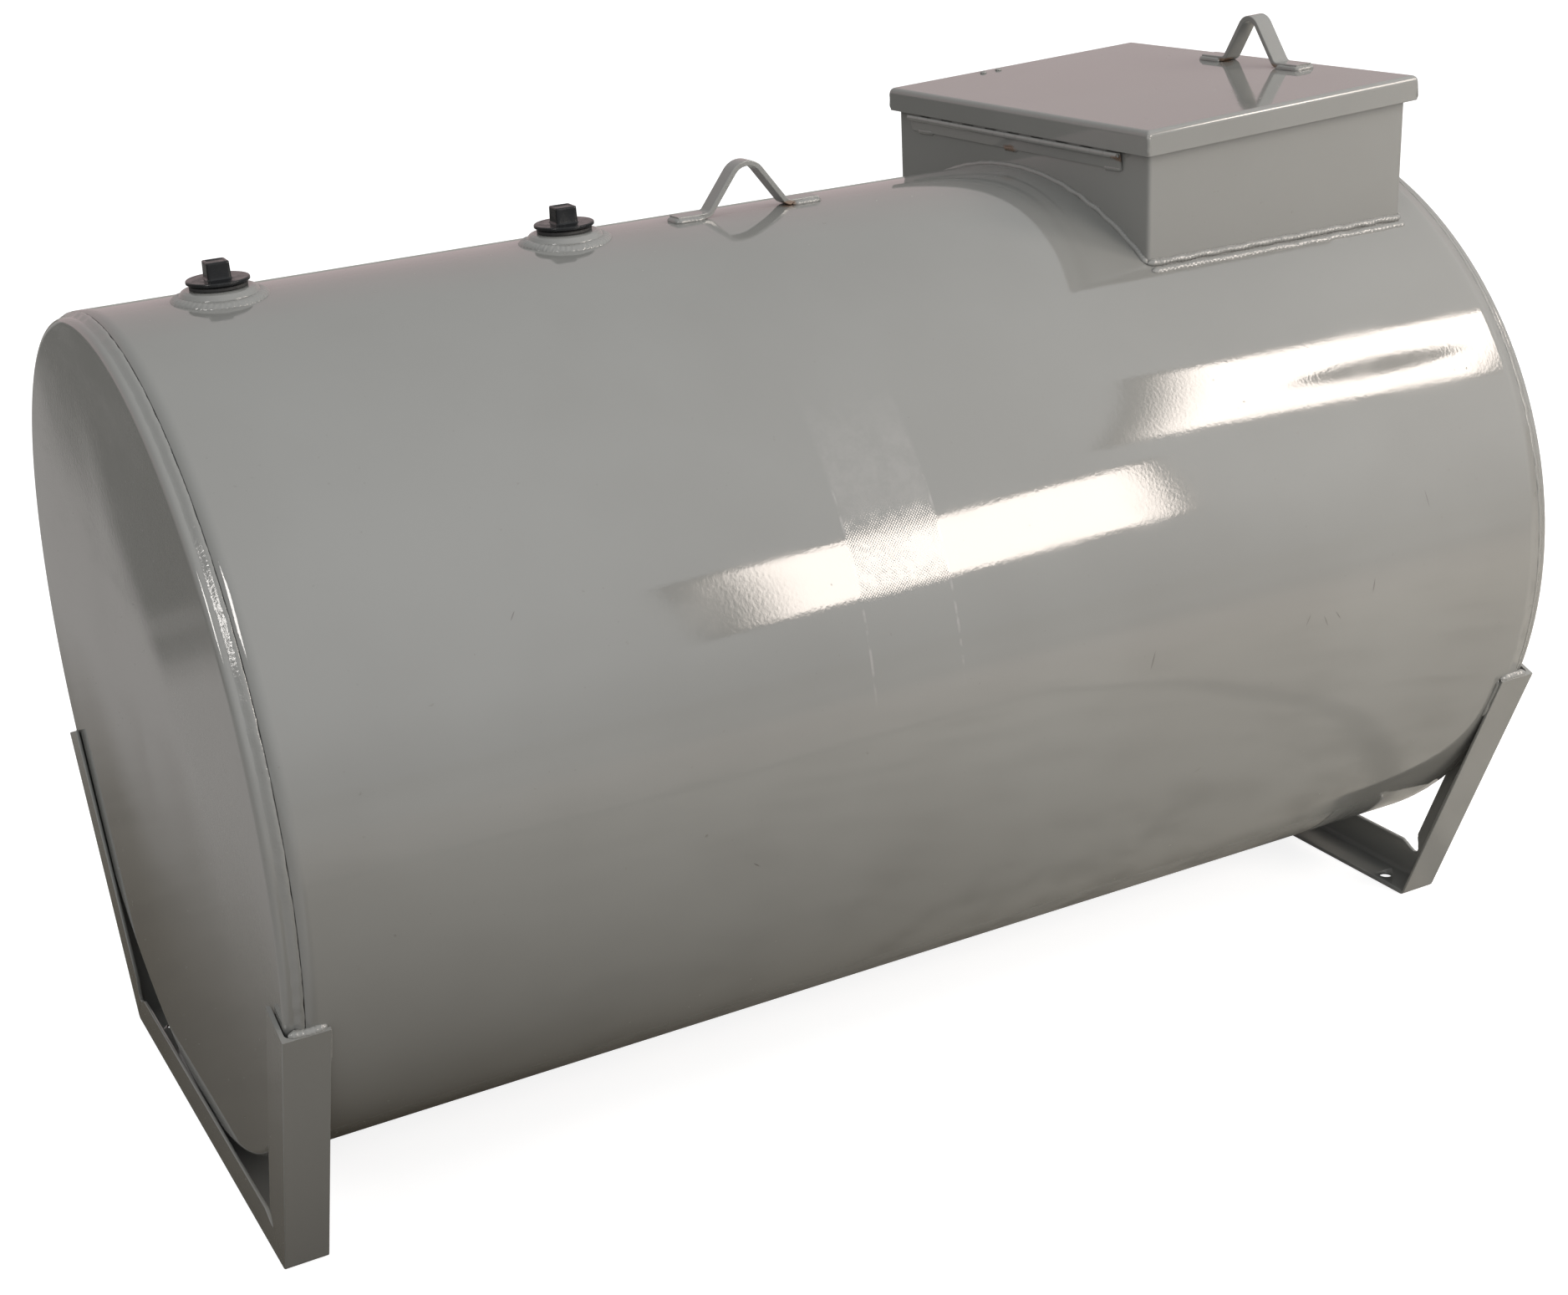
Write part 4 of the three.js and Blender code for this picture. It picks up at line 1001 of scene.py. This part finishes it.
def knuckle_outline():
    """A knuckle's strip in section: a short flat straight up, tangent to the barrel, that curls most of the
    way round the pin."""
    middle = KNUCKLE_RADIUS - LEAF_WALL / 2
    flat = np.array([[middle, PLATE_FROM], [middle, 0.5 * MM], [middle, 0.1 * MM]])
    curl = np.linspace(0, -math.radians(312), 26)
    line = np.vstack([flat, np.stack([middle * np.cos(curl), middle * np.sin(curl)], -1)])
    along = headed(line)
    side = np.stack([-along[:, 1], along[:, 0]], -1) * LEAF_WALL / 2
    return np.vstack([line + side, (line - side)[::-1]])


def hinge_leaf(reach, heading, first, mirrored=False):
    """Knuckles at every other pitch, each a curled strip, joined by the leaf's plate along its whole length.
    heading turns the leaf about the pin, from straight up towards +X, and mirrored hangs it down."""
    pitch = (PIN_HIGH[1] - PIN_LOW[1]) / KNUCKLES
    flip = np.array([1, -1 if mirrored else 1])

    def strip(outline, along):
        """An outline in x and z from the pin, carried along it."""
        spine = np.stack([np.full(len(along), PIN[0]), along, np.full(len(along), PIN[2])], -1)
        return carried(spun(outline, heading) * flip, spine, [1.0, 0, 0], [0, 0, 1.0])

    sheets = []
    for k in range(first, KNUCKLES, 2):
        start = PIN_LOW[1] + k * pitch + KNUCKLE_GAP / 2
        end = start + pitch - KNUCKLE_GAP
        sheets.append(strip(knuckle_outline(), np.array([start, start + 0.3 * MM, end - 0.3 * MM, end])))
    outer, inner = KNUCKLE_RADIUS, KNUCKLE_RADIUS - LEAF_WALL
    plate = np.array([[inner, PLATE_FROM], [outer, PLATE_FROM], [outer, reach], [inner, reach]])
    return [*sheets, strip(plate, np.array([PIN_LOW[1] + 0.2 * MM, PIN_HIGH[1] - 0.2 * MM]))]


BOX_LEAF_DROP = 16.5 * MM
LID_LEAF_REACH = 24 * MM


def box_leaf():
    """The compartment's leaf leans from the barrel in to the wall below it."""
    reach = BOX_LOW[0] - SEAM_GAP - PIN[0]
    span = math.hypot(reach, BOX_LEAF_DROP)
    length = math.sqrt(span**2 - KNUCKLE_RADIUS**2)
    lean = math.atan2(reach, BOX_LEAF_DROP) - math.atan2(KNUCKLE_RADIUS, length)
    return hinge_leaf(length, lean, 0, mirrored=True)


def hinge_rod():
    """The pin, with its ends broken."""
    end = PIN_HIGH[1] - PIN[1]
    profile = rounded([[0, -end], [PIN_RADIUS, -end], [PIN_RADIUS, end], [0, end]],
                      [0, 0.4 * MM, 0.4 * MM, 0], 4, hold=0.1 * MM, closed=False)
    return [turned(profile, PIN, 24, "y")]


def hinge_welds():
    """Stitches where the compartment's leaf meets the wall: at both ends and a rusty one in the middle."""
    beads = []
    length = PIN_HIGH[1] - PIN_LOW[1]
    for k, (share, run) in enumerate([(0.04, 34), (0.5, 30), (0.93, 38)]):
        start = PIN_LOW[1] + share * length
        path = [[BOX_LOW[0] - 0.6 * MM, start - run * MM / 2, PIN[2] - BOX_LEAF_DROP],
                [BOX_LOW[0] - 0.6 * MM, start + run * MM / 2, PIN[2] - BOX_LEAF_DROP - 1 * MM]]
        beads.append(bead(path, [-1, 0, -0.8], 7 * MM, 2.6 * MM, 71 + k, ripple=4 * MM))
    return beads


# ---------------------------------------------------------------- filler
FILLER = np.array([BOX_MIDDLE, 0, CREST])


def neck():
    """A plain tube with a rolled lip."""
    low, high = corners("filler_neck")
    top, bottom = high[2] - CREST, low[2] - CREST
    bore = 39 * MM
    profile = rounded([[bore, bottom], [NECK_RADIUS, bottom], [NECK_RADIUS, top], [bore, top]],
                      [0.5 * MM, 0.5 * MM, 1.6 * MM, 1.2 * MM], 5)
    return [turned(joined(profile), FILLER, 96)]


def basket():
    """The strainer: a flat rim, a drawn wall and a flat floor, turned about the neck."""
    low, high = corners("filler_strainer")
    floor, rim = low[2] - CREST, high[2] - CREST
    wall, drawn, brim = 1.2 * MM, 37.5 * MM, 43 * MM
    profile = rounded([[0, floor], [drawn, floor], [drawn, rim - 1.5 * MM], [brim, rim - 1.5 * MM],
                       [brim, rim], [drawn - wall, rim], [drawn - wall, floor + wall], [0, floor + wall]],
                      np.array([0, 4, 0.3, 0.4, 0.4, 1.5, 2.8, 0]) * MM, 5, hold=0.1 * MM, closed=False)
    return [turned(profile, FILLER, 96)]


def filler_cap():
    """A screw cap: a crowned top and a skirt whose radius swells in twelve lobes round it, bored inside."""
    low, high = corners("filler_cap")
    top, bottom = high[2] - CREST, low[2] - CREST
    bore, outer, wall = NECK_RADIUS + 0.8 * MM, (high[0] - low[0]) / 2, 4 * MM
    skirt = outer - 2.6 * MM
    profile = rounded([[0, top], [outer - 5 * MM, top], [skirt, top - 3 * MM], [skirt, bottom],
                       [bore, bottom], [bore, top - wall], [0, top - wall]],
                      np.array([0, 3, 2, 0.8, 0.5, 1, 0]) * MM, 6, closed=False)
    points, faces = turned(profile, (0, 0, 0), 288)
    radius, angle = np.hypot(points[:, 0], points[:, 1]), np.arctan2(points[:, 1], points[:, 0])
    lobe = np.clip(np.cos(12 * angle) * 3 - 1.4, 0, 1)
    swell = 1 + 2.4 * MM * lobe * (radius > bore + 1 * MM) / outer * (points[:, 2] < top - 2 * MM)
    points[:, :2] *= swell[:, None]
    return [(points + FILLER, faces)]


# ---------------------------------------------------------------- building it
LUG_HEEL = LUG["length"] / 2 - LUG["foot"]
GRIP_HEEL = GRIP["length"] / 2 - GRIP["foot"]
LUG_RUST = [(LUG_MIDDLE + [LUG_HEEL, -BAR_WIDTH / 2, 2 * MM], 13 * MM)]
GRIP_HEELS = np.array([[way * GRIP_HEEL, 0.3 * BAR_WIDTH, 2 * MM] for way in (1, -1)])
GRIP_RUST = [(place, 12 * MM) for place in grip_place(GRIP_HEELS)]
HINGE_RUST = [((BOX_LOW[0] - 1 * MM, PIN[1], PIN[2] - BOX_LEAF_DROP), 17 * MM),
              ((PIN[0], PIN_LOW[1], PIN[2] - 3 * MM), 14 * MM)]
PAINT = enamel("grey enamel")
SHELL_PAINT = enamel("grey enamel on the shell", rust=LUG_RUST, worn=(sling_print, scratches))
LUG_PAINT = enamel("grey enamel on the lifting eye", rust=LUG_RUST)
HINGE_PAINT = enamel("grey enamel on the hinge", rust=HINGE_RUST)
LID_PAINT = enamel("grey enamel on the lid", rust=GRIP_RUST)
WELD_PAINT = enamel("grey enamel over weld", rust=[*LUG_RUST, *HINGE_RUST], lumpy=0.3 * MM, waves=0)
GRIP_WELD_PAINT = enamel("grey enamel over the grip's welds", rust=GRIP_RUST, lumpy=0.3 * MM, waves=0)
PLASTIC, RUBBER, ZINC = moulded_plastic(), rubber(), zinc()


def painted(name, sheets, nodes=(), material=PAINT, body="tank", **more):
    """A piece in grey enamel."""
    return piece(name, sheets, body, "grey_paint", material, nodes, **more)


def weld(name, sheets, material=WELD_PAINT, body="tank"):
    return painted(name, sheets, (), material, body)


painted("shell_plate", shell(), ["tank_shell"], SHELL_PAINT, wall=SHELL_WALL)
for side, name in ((-1, "left"), (1, "right")):
    painted(f"{name}_end_plate", head(f"{name}_head", side), [f"{name}_head"])
    weld(f"{name}_end_weld", seam_round(f"{name}_head", side))
    node = f"{name}_cradle"
    made = painted(f"{name}_stand", stand(node, side), [node])
    drill(made, painted(f"{name}_stand_cutter", stand_holes(node, side)))
    weld(f"{name}_stand_welds", stand_welds(node, side))

for name, seed in (("left", 31), ("centre", 33)):
    bung, ring = f"{name}_bung", f"{name}_plug_seal"
    painted(f"{name}_port_flange", port_flange(bung), [bung])
    weld(f"{name}_port_weld",
         weld_round(crest_at(bung), 47.5 * MM, 240, 0.5, 14 * MM, 3.6 * MM, seed, 6 * MM, turn_steps=18))
    piece(f"{name}_port_plug", plug(f"{name}_plug"), f"{name}_plug", "black_plastic", PLASTIC,
          [f"{name}_plug"])
    piece(f"{name}_port_ring", sealing_ring(ring, 2.3 * MM), f"{name}_plug_ring", "black_rubber", RUBBER,
          [ring])

painted("lifting_eye", bent_bar(*bar_line(**LUG), lug_place, np.asarray), ["lifting_lug"], LUG_PAINT)
weld("lifting_eye_welds", foot_welds(LUG["length"], LUG["foot"], lug_place, np.asarray, 51))

painted("compartment_walls", compartment(), ["compartment_box"])
weld("compartment_welds", compartment_welds())
painted("compartment_hinge_leaf", box_leaf(), ["hinge_box_leaf"], HINGE_PAINT)
weld("hinge_welds", hinge_welds())
piece("hinge_rod", hinge_rod(), "tank", "zinc_steel", ZINC, ["hinge_pin"])
painted("lid_hinge_leaf", hinge_leaf(LID_LEAF_REACH, -LID_SLOPE, 1), ["hinge_lid_leaf"], body="lid")

painted("lid_pan", lid_pan(), ["lid_panel"], LID_PAINT, "lid")
weld("lid_corner_welds", lid_corner_welds(), body="lid")
piece("lid_gasket", gasket(), "lid", "black_rubber", RUBBER, ["lid_seal"])
piece("stay_bracket", stay_bracket(), "lid", "zinc_steel", ZINC, ["lid_stay_tab"])
for k in (1, 2):
    painted(f"blind_rivet_{k}", rivet(f"lid_rivet_{k}"), [f"lid_rivet_{k}"], body="lid")
painted("lid_grip", bent_bar(*bar_line(**GRIP), grip_place, grip_turn), ["lid_handle"], LID_PAINT, "lid")
weld("lid_grip_welds", foot_welds(GRIP["length"], GRIP["foot"], grip_place, grip_turn, 55),
     GRIP_WELD_PAINT, "lid")

painted("neck_tube", neck(), ["filler_neck"])
weld("neck_weld", weld_round(FILLER, 45.5 * MM, 200, 1 / 0.9, 8 * MM, 3.2 * MM, 81, 4.6 * MM))
piece("strainer_basket", basket(), "tank", "zinc_steel", ZINC, ["filler_strainer"])
piece("cap_ring", sealing_ring("filler_seal", 7 * MM), "filler_ring", "black_rubber", RUBBER,
      ["filler_seal"])
piece("screw_cap", filler_cap(), "filler_cap", "zinc_steel", ZINC, ["filler_cap"])

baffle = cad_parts["baffle_plate"]
baffle.data.materials.clear()
baffle.data.materials.append(PAINT)

# ---------------------------------------------------------------- floor, light and camera
FLOOR_HALF = 30.0
DARKER_LEFT_FLOOR, PALE_FLOOR = (0.12, 0.10, 0.07), (0.50, 0.49, 0.45)  # under the left of the tank and the right
BESIDE_FLOOR, FAR_FLOOR = (0.50, 0.48, 0.46), (0.86, 0.86, 0.85)
SPILLED, DARK_FLOOR, JOINT = (0.08, 0.065, 0.045), (0.10, 0.10, 0.09), (0.05, 0.05, 0.045)


def flat_square(name, half):
    """A level square of a half size about the origin."""
    mesh = bpy.data.meshes.new(name)
    mesh.from_pydata([(half * x, half * y, 0) for x, y in QUARTERS], [], [(2, 3, 0, 1)])
    made = bpy.data.objects.new(name, mesh)
    bpy.context.scene.collection.objects.link(made)
    return made


def floor():
    """A plain floor, white to look at. To everything else it is a dull one: brown and darker under the left
    of the tank, paler towards the right, with a dark joint round the sheet that the tank stands on."""
    ground = flat_square("floor", FLOOR_HALF)
    made = Recipe("floor")
    made.finish((0.42, 0.42, 0.42), 0.8, Emission_Color=(1, 1, 1, 1), Emission_Strength=0.82)
    x, y, _ = made.axes()
    # The floor's colour runs from darker towards the left of the tank to paler towards the right
    shade = made.mix(made.ramp(x, -0.9, 0.55), DARKER_LEFT_FLOOR, PALE_FLOOR)
    beside = made.maths("MAXIMUM", made.ramp(x, -0.85, -1.1), made.ramp(y, -1.3, -2.4))
    shade = made.mix(beside, shade, BESIDE_FLOOR)
    shade = made.mix(made.ramp(y, -2.0, -4.5), shade, FAR_FLOOR)
    spilled = made.product(made.ramp(made.noise(7, 5, 0.65), 0.42, 0.7, 0.0, 0.4), made.ramp(x, -1.1, -0.8))
    shade = made.mix(spilled, shade, SPILLED)
    sloped = made.maths("ADD", x, made.product(y, 0.13))
    dark = made.product(made.ramp(sloped, -0.945, -0.975),
                        made.ramp(made.maths("ADD", y, made.noise(3, 3)), 1.8, 2.4), 0.85)
    shade = made.mix(dark, shade, DARK_FLOOR)
    edge = made.maths("MAXIMUM", made.maths("SUBTRACT", x, 1.0), made.maths("SUBTRACT", -1.78, y))
    off = made.maths("ABSOLUTE", made.maths("ADD", edge, made.product(made.noise(1.3, 1), 0.25)))
    shade = made.mix(made.ramp(off, 0.01, 0.06, 0.45, 0.0), shade, JOINT)
    dull = made.node("ShaderNodeBsdfDiffuse")
    made.feed(dull.inputs["Color"], shade)
    seen = made.node("ShaderNodeLightPath").outputs["Is Camera Ray"]
    choice = made.node("ShaderNodeMixShader")
    for socket, value in zip(choice.inputs, (seen, dull.outputs[0], made.shader.outputs[0])):
        made.tree.links.new(value, socket)
    made.shown(choice.outputs[0])
    ground.data.materials.append(made.material)


GLARE = 12.5  # a softbox's strength as it is seen in glossy paint
WARM, NEUTRAL = (1.0, 0.90, 0.82), (1.0, 0.96, 0.93)


def softbox(name, middle, right, up, strength, tone, blot=None):
    """A glowing panel with soft edges, unseen by the camera, less glaring in reflections than it lights. Its
    sides run along right and up, which are half its width and height. A blot is an oval that something in
    front of it darkens: its place and its half sizes, as shares of the panel's."""
    panel = flat_square(name, 1)
    right, up = Vector(right), Vector(up)
    sides = Matrix((right, up, right.cross(up))).transposed().to_4x4()
    panel.matrix_world = Matrix.Translation(Vector(middle)) @ sides
    panel.visible_camera = False
    made = Recipe(name)
    x, y, _ = made.axes()
    left, right = made.ramp(x, -1.0, -0.55), made.ramp(x, 1.0, 0.8)
    glow = made.product(left, left, right, made.ramp(made.maths("ABSOLUTE", y), 1.0, 0.84))
    if blot is not None:
        (u, v), (across, tall) = blot
        squares = [made.maths("POWER", made.maths("DIVIDE", made.maths("SUBTRACT", way, at), size), 2.0)
                   for way, at, size in ((x, u, across), (y, v, tall))]
        glow = made.product(glow, made.ramp(made.maths("ADD", *squares), 0.75, 1.2, 0.02, 1.0))
    emission = made.node("ShaderNodeEmission")
    made.feed(emission.inputs["Color"], tone)
    mirrored = made.node("ShaderNodeLightPath").outputs["Is Glossy Ray"]
    made.feed(emission.inputs["Strength"], made.product(glow, made.ramp(mirrored, 0.0, 1.0, strength, GLARE)))
    made.shown(emission.outputs[0])
    panel.data.materials.append(made.material)


LIT_FROM = (0.32, -0.75, 0.58)  # the side of the room that is brightest
# The room's colour from its unlit side to its lit one, and the wall's
ROOM = [(0.34, 0.33, 0.32, 1), (0.66, 0.66, 0.65, 1), (1.08, 1.11, 1.14, 1)]
WALL = (0.60, 0.49, 0.49, 1)


def surroundings():
    """A room whose brightness grows with how far a direction leans towards its lit side, with a pinkish wall
    low down behind, and plain white where nothing stands."""
    world = bpy.data.worlds.new("studio")
    bpy.context.scene.world = world
    world.use_nodes = True
    tree = world.node_tree

    def node(kind, values=(), **settings):
        made = tree.nodes.new(kind)
        for key, value in settings.items():
            setattr(made, key, value)
        for socket, value in values:
            if isinstance(value, bpy.types.NodeSocket):
                tree.links.new(value, made.inputs[socket])
            else:
                made.inputs[socket].default_value = value
        return made

    way = node("ShaderNodeTexCoord").outputs["Generated"]
    split = node("ShaderNodeSeparateXYZ", [(0, way)])
    lean = node("ShaderNodeVectorMath", [(0, way), (1, LIT_FROM)], operation="DOT_PRODUCT").outputs["Value"]
    share = node("ShaderNodeMapRange", [("Value", lean), ("From Min", -1.0), ("From Max", 1.0)]).outputs[0]
    room = node("ShaderNodeValToRGB", [(0, share)])
    stops = room.color_ramp.elements
    stops.new(0.5)
    for stop, color in zip(stops, ROOM):
        stop.color = color

    def between(value, low, high, to_low=0.0, **settings):
        """A value carried from one range to another that ends at 1."""
        return node("ShaderNodeMapRange", [("Value", value), ("From Min", low), ("From Max", high),
                                           ("To Min", to_low)], **settings).outputs[0]

    behind = between(split.outputs["Y"], 0.1, 0.7)
    low = between(split.outputs["Z"], 0.62, 0.2)
    dim = between(split.outputs["Z"], 0.0, 0.3, 0.74, interpolation_type="SMOOTHSTEP")
    dimmed = node("ShaderNodeVectorMath", [(0, room.outputs[0]), ("Scale", dim)],
                  operation="SCALE").outputs[0]
    wall = node("ShaderNodeMath", [(0, behind), (1, low)], operation="MULTIPLY").outputs[0]
    walled = node("ShaderNodeMix", [(0, wall), (6, dimmed), (7, WALL)], data_type="RGBA").outputs[2]
    seen = node("ShaderNodeLightPath").outputs["Is Camera Ray"]
    sky = node("ShaderNodeMix", [(0, seen), (6, walled), (7, (1, 1, 1, 1))], data_type="RGBA").outputs[2]
    tree.links.new(sky, tree.nodes["Background"].inputs["Color"])


floor()
surroundings()
# Each box's middle, half its width and half its height, as vectors
NEAR_BOX = ((1.46, -2.77, 1.74), (0.66, 0.0, -0.02), (-0.15, 0.21, 0.36))
FAR_BOX = ((2.17, -1.67, 2.27), (0.46, 0.0, -0.16), (0.0, 0.31, 0.25))
LEFT_BOX = ((-3.7, -1.9, 3.1), (0.25, -0.48, 0.0), (0.35, 0.18, 0.6))
softbox("near softbox", *NEAR_BOX, 17.5, WARM)
softbox("far softbox", *FAR_BOX, 17.5, WARM, blot=((0.28, -0.12), (0.38, 0.26)))
softbox("left softbox", *LEFT_BOX, 8.0, NEUTRAL)

CAMERA_PLACE = (-1.26612, -2.38739, 1.49395)
CAMERA_RIGHT, CAMERA_UP = Vector((0.89594, -0.43864, -0.06982)), Vector((0.22486, 0.31237, 0.92296))
camera_data = bpy.data.cameras.new("camera")
camera_data.sensor_width = 36.0
camera_data.lens = 52.2425053
camera_data.shift_x, camera_data.shift_y = 0.08397, 0.02812
camera = bpy.data.objects.new("camera", camera_data)
camera.matrix_world = Matrix((CAMERA_RIGHT, CAMERA_UP, CAMERA_RIGHT.cross(CAMERA_UP))).transposed().to_4x4()
camera.location = CAMERA_PLACE
bpy.context.scene.collection.objects.link(camera)
bpy.context.scene.camera = camera
bpy.context.scene.view_settings.view_transform = "Standard"
